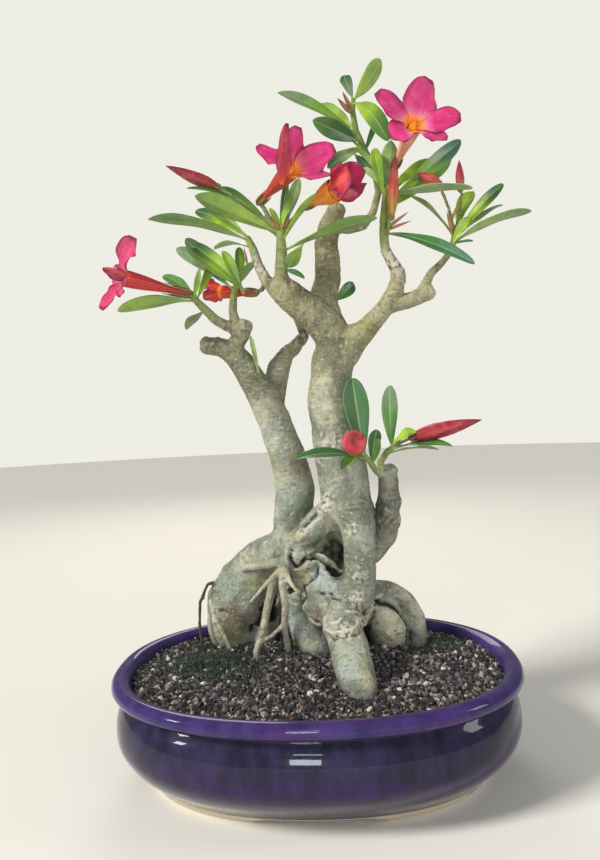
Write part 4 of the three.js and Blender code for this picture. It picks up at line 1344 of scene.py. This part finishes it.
# Small leaves that sprout beside the main ones: name: (stalk, tip, way the upper side faces,
# width, tint near the stalk, tint near the tip), in millimetres from the pot's middle
SPROUTS = {
    "sprout_shoot": ((66, 23, 236), (83, 12, 246), (-0.4, -0.5, 0.8), 12, "bright", "fresh"),
    "sprout_shoot_low": ((49, 20, 224), (54, 8, 243), (0.2, -0.9, 0.3), 6, "fresh", "mid"),
    "sprout_under_bud": ((42, 10, 232), (25, 0, 221), (-0.2, -0.6, 0.75), 9, "fresh", "mid"),
    "sprout_low_left": ((-86, 32, 359), (-78, 22, 380), (0.3, -0.9, 0.2), 5, "bright", "pale"),
    "sprout_far_right": ((116, 19, 387), (131, 16, 388), (0, -0.4, 0.9), 4.5, "dark", "dark"),
    "sprout_centre": ((-14, 18, 404), (-21, 8, 419), (0.2, -0.9, 0.2), 5, "bright", "bright"),
    "sprout_centre_tall": ((-14, 18, 402), (-7, 12, 440), (0.2, -0.95, 0.2), 5.5, "mid", "dark"),
    "sprout_centre_low": ((-14, 21, 375), (3, 14, 366), (0.3, -0.8, 0.5), 6, "blue", "dark"),
    "sprout_upper_left": ((-42, 41, 406), (-79, 62, 440), (-0.5, -0.7, 0.5), 8, "fresh", "dark"),
    "sprout_left_bud": ((-50, 16, 429), (-82, 5, 436), (0, -0.7, 0.7), 6, "mid", "dark"),
    "sprout_left_trunk": ((-38, 40, 298), (-43, 36, 328), (0.3, -0.9, 0.1), 4, "pale", "pale"),
    "sprout_right": ((65, 12, 425), (60, 24, 464), (-0.3, -0.9, 0.3), 9, "fresh", "bright"),
    "sprout_top": ((55, 50, 472), (66, 44, 496), (0.2, -0.9, 0.3), 5, "dark", "mid"),
    "sprout_right_wide": ((67, 14, 424), (119, 46, 459), (-0.3, -0.9, 0.4), 13, "bright", "fresh"),
    "sprout_far_right_wide": ((117, 18, 388), (128, 12, 405), (-0.4, -0.9, 0.2), 8, "bright", "bright"),
    "sprout_mid_left": ((-47, 36, 364), (-88, 34, 403), (-0.1, -0.9, 0.4), 12, "bright", "dark"),
    "sprout_mid_left_low": ((-47, 35, 362), (-61, 30, 394), (0.3, -0.9, 0.2), 9, "fresh", "bright"),
    "sprout_top_thin": ((67, 14, 432), (46, 38, 470), (0.2, -0.9, 0.2), 4.5, "pale", "fresh"),
    "sprout_top_pale": ((45, 44, 478), (60, 22, 449), (0.2, -0.9, 0.3), 4.5, "fresh", "pale"),
    "sprout_centre_side": ((-14, 17, 402), (-2, 8, 428), (-0.4, -0.9, 0.2), 6, "bright", "fresh"),
    "sprout_top_thin_low": ((66, 14, 430), (52, 30, 452), (-0.4, -0.9, 0.2), 5, "pale", "pale"),
}


def make_leaves():
    material = leaf_shader()
    wood = surface_tree("trunk")
    for twig_number, (twig, looks) in enumerate(LEAF_TINTS.items()):
        nodes = [f"{twig}_{number + 1}" for number in range(len(looks))]
        solids = [corners(node) for node in nodes]
        heart = np.median([nearest_corner(points, wood) for points in solids], axis=0)
        for number, (node, points, tints) in enumerate(zip(nodes, solids, looks)):
            rng = np.random.default_rng(100 * twig_number + number)
            shells = Shells()
            leaf = leaf_frame(points, heart)
            leaf.width *= SLIMMER.get(node, 1)
            blade(shells, leaf, tints, rng)
            name = node.replace("leaf", "blade")
            place(name, shells.mesh(name), "leaf", [node], [material])
    for number, (name, (base, tip, up, width, *tints)) in enumerate(SPROUTS.items()):
        rng = np.random.default_rng(2000 + number)
        base, tip, up = np.array(at(*base)), np.array(at(*tip)), np.array(up)
        side = np.cross(tip - base, up)
        shells = Shells()
        blade(shells, LeafFrame(base, tip, side, up, width * MM, 0.06, 0.4), tints, rng)
        place(name, shells.mesh(name), "leaf", [], [material])


# ---- Flowers ----

PETALS = 5
TUBE_SLOT = 1  # which of a flower's materials the tube, the sepals and the threads have
TUBE_STATIONS = 20
TUBE_SIDES = 40
TUBE_SHORT = 3.5 * MM  # the tube ends this far inside the mouth, where the lobes take over
TUBE_FOOT = 2.3 * MM
TUBE_WALL = 0.9 * MM
PETAL_STATIONS = 26
PETAL_ACROSS = 9
PETAL_THICK = 0.28 * MM

MAGENTA = (0.56, 0.020, 0.150)
BLUSH = (0.74, 0.24, 0.36)
SCARLET = (0.52, 0.018, 0.022)
# Each lobe is numbered clockwise from the top. "at" moves its tip: (right, up, forward) of the
# mouth in millimetres; "twist" turns it about its own length and "curl" rolls its sides.
FLOWER_LOOKS = {
    "flower_top": {
        "petal": MAGENTA, "blush": BLUSH, "tube": (0.80, 0.36, 0.24), "width": 0.80, "ruffle": 0.7,
        "lobes": {
            0: {"at": (11, 27, 14), "width": 1.00, "twist": 0.15},
            1: {"at": (31, -1, 9), "width": 0.74, "twist": 0.25},
            2: {"at": (21, -14, 2), "width": 0.80},
            3: {"at": (-19, -6, -5), "width": 1.20},
            4: {"at": (-25, 23, 4), "width": 0.88},
        },
    },
    "flower_centre": {
        "petal": MAGENTA, "blush": (0.75, 0.14, 0.16), "tube": (0.36, 0.035, 0.025), "width": 0.78,
        "ruffle": 0.8,
        "lobes": {
            0: {"at": (3, 26, 13), "width": 0.78},
            1: {"at": (23, 6, 23), "width": 0.86},
            2: {"at": (21, -11, 16), "width": 0.66},
            3: {
                "root": (-8, -10, -7), "at": (-12, 21, 18), "width": 0.42, "curl": -1.1,
                "tint": (0.36, 0.015, 0.03), "blush": (0.70, 0.07, 0.025), "skip": 0.3,
            },
            4: {"at": (-15, 25, -13), "width": 0.60},
        },
    },
    "flower_left": {
        "petal": (0.62, 0.055, 0.160), "blush": (0.80, 0.30, 0.34), "tube": (0.50, 0.03, 0.035),
        "width": 0.62, "ruffle": 1.3, "calyx": 22,
        "lobes": {
            0: {"at": (6, 31, -4), "twist": 0.85, "width": 1.0, "curl": 0.7, "skip": 0.3},
            1: {
                "at": (4, 3, 15), "tint": (0.30, 0.015, 0.03), "blush": (0.55, 0.03, 0.04),
                "curl": 1.0, "width": 1.2, "skip": 0.3,
            },
            2: {"at": (6, -16, 0), "twist": -0.4, "width": 0.7, "skip": 0.3},
            3: {"at": (-5, -26, 10), "twist": -0.8, "width": 0.62, "curl": 0.6, "skip": 0.3},
        },
    },
    "flower_fading": {
        "petal": (0.60, 0.030, 0.07), "blush": (0.70, 0.03, 0.02), "tube": (0.80, 0.27, 0.02),
        "width": 0.95, "ruffle": 1.1, "flare": 1.2,
        "lobes": {
            0: {"at": (-5, 11, 17)},
            1: {"at": (6, 8, 20), "tint": (0.62, 0.05, 0.14)},
            2: {"at": (6, -5, 19), "tint": (0.62, 0.06, 0.14)},
            3: {"at": (-4, -9, 16), "tint": (0.66, 0.13, 0.20)},
            4: {"at": (-9, 1, 19), "tint": (0.50, 0.015, 0.035), "width": 1.2, "skip": 0.3},
        },
    },
    "flower_hidden": {
        "petal": SCARLET, "blush": (0.62, 0.05, 0.02), "tube": (0.55, 0.03, 0.02), "width": 0.8,
        "ruffle": 1.0,
        "lobes": {
            0: {"at": (0, 8, 14)},
            1: {"at": (7, 4, 14)},
            2: {"at": (4, -6, 13)},
            3: {"at": (-4, -6, 12)},
            4: {"at": (-6, 3, 14)},
        },
    },
}


class FlowerFrame:
    """Where a flower sits, read off its CAD solid, whose throat ends in a fan of faces."""

    def __init__(self, node, wood, flare):
        solid = merged(node)
        hubs = [v for v in solid.verts if len(v.link_edges) >= 16]
        hub = max(hubs, key=lambda v: wood.find_nearest(v.co)[3])
        inner = {edge.other_vert(hub) for edge in hub.link_edges}
        rim = {edge.other_vert(v) for v in inner for edge in v.link_edges} - inner - {hub}
        self.mouth = np.mean([v.co for v in rim], axis=0)
        self.throat = flare * np.mean([np.linalg.norm(np.array(v.co) - self.mouth) for v in rim])
        self.axis = unit(self.mouth - np.array(hub.co))
        points = np.array([v.co for v in solid.verts])
        solid.free()
        depth = (points - self.mouth) @ self.axis
        self.length = 1.2 * MM - depth.min()
        self.up = unit(np.array((0, 0, 1)) - self.axis * self.axis[2])
        self.right = np.cross(self.up, self.axis)
        outer = points[depth > -3 * MM] - self.mouth
        tips = outer[np.argsort(np.linalg.norm(outer, axis=1))[-PETALS:]]
        turn = np.arctan2(tips @ self.right, tips @ self.up)
        turn = np.where(turn < -math.pi / PETALS, turn + 2 * math.pi, turn)
        self.tips = self.mouth + tips[np.argsort(turn)]

    def spot(self, right, up, forward):
        """A place in millimetres from the mouth."""
        return self.mouth + (self.right * right + self.up * up + self.axis * forward) * MM


def corolla_tube(shells, flower, tint):
    """The funnel's wall, outside and in, with five faint ribs."""
    angle = turns(TUBE_SIDES)
    t = np.linspace(0, 1, TUBE_STATIONS)
    widening = flower.throat + 0.4 * MM - TUBE_FOOT
    radius = TUBE_FOOT + widening * (0.25 * t + 0.75 * smoothstep(t, 0.15, 0.95))
    inner = np.maximum(radius - TUBE_WALL, 0.8 * MM)
    lined = t > 0.35
    share = np.concatenate([t, t[lined][::-1]])
    girth = np.concatenate([radius, inner[lined][::-1]])
    above = np.concatenate([np.zeros(len(t)), np.ones(lined.sum())])
    ribs = 0.3 * MM * np.cos(PETALS * angle) * smoothstep(share, 0.2, 0.8)[:, None]
    length = flower.length - TUBE_SHORT
    centre = flower.mouth - flower.axis * TUBE_SHORT + np.outer((share - 1) * length, flower.axis)
    rings = centre[:, None] + spokes(flower.axis, flower.right, angle) * (girth[:, None] + ribs)[..., None]
    looks = {"across": 0, "above": above[:, None], "tint": tint, "blush": tint}
    streaks = 0.5 + 0.5 * np.cos(3 * PETALS * angle)
    shells.skin(rings, TUBE_SLOT, along=share[:, None], veins=streaks, **looks)


def petal(shells, flower, tip, look, lobe, rng):
    """One lobe: a thin sheet from inside the tube to its tip, broad, cupped and ruffled."""
    outward = tip - flower.mouth
    outward = unit(outward - flower.axis * (outward @ flower.axis))
    if "at" in lobe:
        tip = flower.spot(*lobe["at"])
    throat = flower.throat
    root = flower.mouth + outward * 0.72 * throat - flower.axis * (TUBE_SHORT + 3 * MM)
    knee = flower.mouth + outward * (throat + 1.0 * MM) + flower.axis * 1.5 * MM
    if "root" in lobe:
        root = flower.spot(*lobe["root"])
        knee = (root + tip) / 2 + outward * 2 * MM
    t = np.linspace(0, 1, PETAL_STATIONS)[:, None]
    spine = root * (1 - t) ** 2 + knee * 2 * t * (1 - t) + tip * t ** 2
    along = np.gradient(spine, axis=0)
    along /= np.linalg.norm(along, axis=1)[:, None]
    side = np.cross(flower.axis, outward)
    side = side - along * (along @ side)[:, None]
    side /= np.linalg.norm(side, axis=1)[:, None]
    face = np.cross(side, along)
    face *= np.sign(face @ (flower.axis - outward * 0.3))[:, None]
    turn = lobe.get("twist", 0) + rng.uniform(-0.12, 0.12)
    turn = turn * smoothstep(t, 0.35, 0.9)
    side, face = side * np.cos(turn) + face * np.sin(turn), face * np.cos(turn) - side * np.sin(turn)

    length = np.linalg.norm(tip - flower.mouth)
    wide = look["width"] * lobe.get("width", 1) * length / 2
    base_half = throat * 0.9 * (1 - smoothstep(t, 0.25, 0.65))
    half = base_half + wide * smoothstep(t, 0.22, 0.6) * (1 - np.maximum(t - 0.6, 0) ** 3 / 0.075) ** 0.6
    if "root" in lobe:
        half = half * (0.3 + 0.7 * smoothstep(t, 0, 0.3))
    half = np.maximum(half, 0.15 * MM)
    u, above, sign = sheet_grid(PETAL_ACROSS)
    across = np.abs(u)
    opened = smoothstep(t, 0.25, 0.6)
    curl = lobe.get("curl", 0) * opened + 0.9 * (1 - opened) + 1e-3
    shift = half * np.sin(curl * u) / curl
    cup = half * (1 - np.cos(curl * u)) / curl
    phase = rng.uniform(0, 2 * math.pi, 3)
    waves = 1.1 * np.sin(9 * t + phase[0] + 2 * np.sign(u)) + 0.5 * np.sin(21 * t + phase[1])
    ripple = look["ruffle"] * MM * across ** 1.6 * waves * opened
    crease = -0.5 * MM * np.exp(-(u / 0.14) ** 2) * opened
    lean = 0.12 * rng.choice([-1, 1]) * length
    slope = (lean * u - 0.10 * length * across ** 3) * smoothstep(t, 0.55, 1) * (1 - smoothstep(t, 0.9, 1))
    height = ripple + cup + crease + sign * PETAL_THICK
    rings = spine[:, None] + side[:, None] * shift[..., None]
    rings = rings + face[:, None] * height[..., None] + along[:, None] * slope[..., None]
    streaks = 0.5 + 0.5 * np.cos(2 * math.pi * 3.5 * across + 0.6 * np.sin(9 * t + phase[2]))
    tint = np.array(lobe.get("tint", look["petal"])) * rng.uniform(0.85, 1.12)
    share = t + lobe.get("skip", 0) * (1 - t)
    blush = lobe.get("blush", look["blush"])
    shells.skin(rings, along=share, across=across, above=above, veins=streaks, tint=tint, blush=blush)


def taper(shells, path, radii, sides, slot, **values):
    """A thin tapering round body along a path, such as a sepal or an anther's thread."""
    path = np.array(path)
    along = unit(path[-1] - path[0])
    rings = path[:, None] + spokes(along, crosswise(along), turns(sides)) * radii[:, None, None]
    shells.skin(rings, slot, along=np.linspace(0, 1, len(path))[:, None], **values)


SEPAL_TINT = (0.15, 0.15, 0.045)
SEPAL_SIDES = 8
SEPAL_PATH = ((-0.25, 0.2), (0, 0.85), (0.35, 1.15), (0.7, 1.25), (1, 1.3))  # shares up and out
SEPAL_RADII = np.array((0.7, 1.15, 1.0, 0.65, 0.12)) * MM
THREAD_TINT = (0.88, 0.34, 0.03)
THREAD_SIDES = 6
THREAD_PATH = ((-14, 1.5), (-7, 2.6), (0.5, 0.6))  # millimetres up from the mouth and out
THREAD_RADII = np.array((1.2, 1.6, 0.3)) * MM


def calyx(shells, root, axis, start, girth, length, slot, **values):
    """Five narrow sepals that hug the foot of a flower or a bud."""
    for out in spokes(axis, start, 2 * math.pi * (np.arange(PETALS) + 0.3) / PETALS):
        path = [root + axis * length * up + out * girth * wide for up, wide in SEPAL_PATH]
        taper(shells, path, SEPAL_RADII, SEPAL_SIDES, slot, tint=SEPAL_TINT, veins=0, **values)


def stamens(shells, flower, **values):
    """Five anther threads that lean together in the throat."""
    for out in spokes(flower.axis, flower.right, turns(PETALS) + 0.6):
        path = [flower.mouth + (out * wide + flower.axis * up) * MM for up, wide in THREAD_PATH]
        taper(shells, path, THREAD_RADII, THREAD_SIDES, TUBE_SLOT, tint=THREAD_TINT, veins=0.5, **values)


def make_flowers():
    materials = [petal_shader(), tube_shader()]
    wood = surface_tree("trunk")
    for number, (node, look) in enumerate(FLOWER_LOOKS.items()):
        rng = np.random.default_rng(300 + number)
        flower = FlowerFrame(node, wood, look.get("flare", 1))
        shells = Shells()
        corolla_tube(shells, flower, look["tube"])
        for lobe, tip in enumerate(flower.tips):
            petal(shells, flower, tip, look, look["lobes"].get(lobe, {}), rng)
        foot = flower.mouth - flower.axis * flower.length
        plain = {"across": 0, "above": 0, "blush": SEPAL_TINT}
        sepals = look.get("calyx", 12) * MM
        girth = 2.0 * MM + 0.065 * sepals
        calyx(shells, foot, flower.axis, flower.right, girth, sepals, TUBE_SLOT, **plain)
        stamens(shells, flower, **plain)
        name = node.replace("flower", "bloom")
        place(name, shells.mesh(name), "petal", [node], materials)


# ---- Buds ----

BUD_STATIONS = 28
BUD_SIDES = 30
BUD_FOLDS = 5
BUD_SEPALS = 5 * MM
GREEN_FOOT = (0.22, 0.19, 0.05)
BUD_LOOKS = {
    "bud_shoot": {"tint": (0.30, 0.018, 0.035), "foot": (0.26, 0.020, 0.025), "twist": 1.6},
    "bud_round": {"tint": (0.72, 0.055, 0.085), "foot": (0.60, 0.16, 0.10), "twist": 2.2},
    "bud_upright": {"tint": (0.36, 0.040, 0.025), "foot": (0.46, 0.27, 0.05), "twist": 1.2, "slim": 0.74},
    "bud_side": {"tint": (0.55, 0.09, 0.05), "foot": (0.35, 0.09, 0.04), "twist": 1.2},
    "bud_far": {"tint": (0.30, 0.025, 0.04), "foot": (0.35, 0.10, 0.05), "twist": 1.5, "slim": 0.8},
    "bud_left": {"tint": (0.26, 0.016, 0.028), "foot": (0.30, 0.05, 0.03), "twist": 1.5},
}
# Young buds that sit among the leaves: (foot, tip, radius), in millimetres from the pot's middle
BUDLETS = {
    "budlet_top_left": ((44, 48, 502), (34, 38, 510), 1.9),
    "budlet_top_right": ((45, 47, 504), (38, 34, 513), 1.7),
    "budlet_centre": ((-14, 17, 404), (-20, 6, 411), 1.8),
    "budlet_right": ((65, 10, 399), (82, 3, 409), 1.3),
    "budlet_right_low": ((65, 10, 398), (84, 5, 403), 1.2),
    "budlet_far_right": ((117, 19, 394), (111, 10, 409), 1.4),
    "budlet_far_right_high": ((115, 17, 404), (119, 10, 414), 1.2),
    "budlet_left": ((-43, 40, 384), (-45, 38, 398), 1.1),
    "budlet_centre_right": ((-11, 17, 404), (-6, 10, 414), 1.5),
}
BUDLET_TINT = (0.40, 0.18, 0.09)


def bud_frame(node, wood):
    points = corners(node)
    apart = np.linalg.norm(points[:, None] - points[None], axis=2)
    ends = points[list(np.unravel_index(np.argmax(apart), apart.shape))]
    foot, tip = sorted(ends, key=lambda p: wood.find_nearest(Vector(p))[3])
    along = unit(tip - foot)
    off = (points - foot) - np.outer((points - foot) @ along, along)
    radius = np.linalg.norm(off, axis=1).max()
    return foot - along * 1.0 * MM, tip, radius


def bud(shells, foot, tip, radius, tint, foot_tint, twist):
    """A furled bud: a spindle whose folded petals wind round it."""
    along = unit(tip - foot)
    across = crosswise(along)
    length = np.linalg.norm(tip - foot)
    t = np.linspace(0, 1, BUD_STATIONS)
    girth = radius * (np.sin(math.pi * t ** 0.72) ** 0.8 * 0.92 + 0.08 * (1 - t))
    girth = np.maximum(girth, 0.18 * MM)
    girth[0] = 0.45 * radius
    angle = turns(BUD_SIDES)
    fold = angle[None] * BUD_FOLDS + twist * BUD_FOLDS * t[:, None]
    saw = (fold / (2 * math.pi)) % 1.0
    relief = 1 + 0.12 * (saw - 0.5) * smoothstep(t, 0.08, 0.35)[:, None]
    centre = foot + np.outer(t * length, along)
    rings = centre[:, None] + spokes(along, across, angle) * (girth[:, None] * relief)[..., None]
    shells.skin(rings, along=t[:, None], veins=1 - smoothstep(saw, 0.0, 0.22), tint=tint, foot=foot_tint)
    return across


def make_buds():
    material = bud_shader()
    wood = surface_tree("trunk")
    for node, look in BUD_LOOKS.items():
        foot, tip, radius = bud_frame(node, wood)
        radius *= look.get("slim", 1)
        shells = Shells()
        across = bud(shells, foot, tip, radius, look["tint"], look["foot"], look["twist"])
        calyx(shells, foot, unit(tip - foot), across, 0.42 * radius, BUD_SEPALS, 0, foot=GREEN_FOOT)
        name = node.replace("bud", "furled_bud")
        place(name, shells.mesh(name), "bud", [node], [material])
    for name, (foot, tip, radius) in BUDLETS.items():
        shells = Shells()
        bud(shells, np.array(at(*foot)), np.array(at(*tip)), radius * MM, BUDLET_TINT, GREEN_FOOT, 1.0)
        place(name, shells.mesh(name), "bud", [], [material])


aim_camera()
add_lights()
add_surroundings()
make_pot()
finish_drain_screens()
make_soil()
make_grit()
make_moss()
make_trunk()
make_leaves()
make_flowers()
make_buds()

bpy.context.view_layer.update()
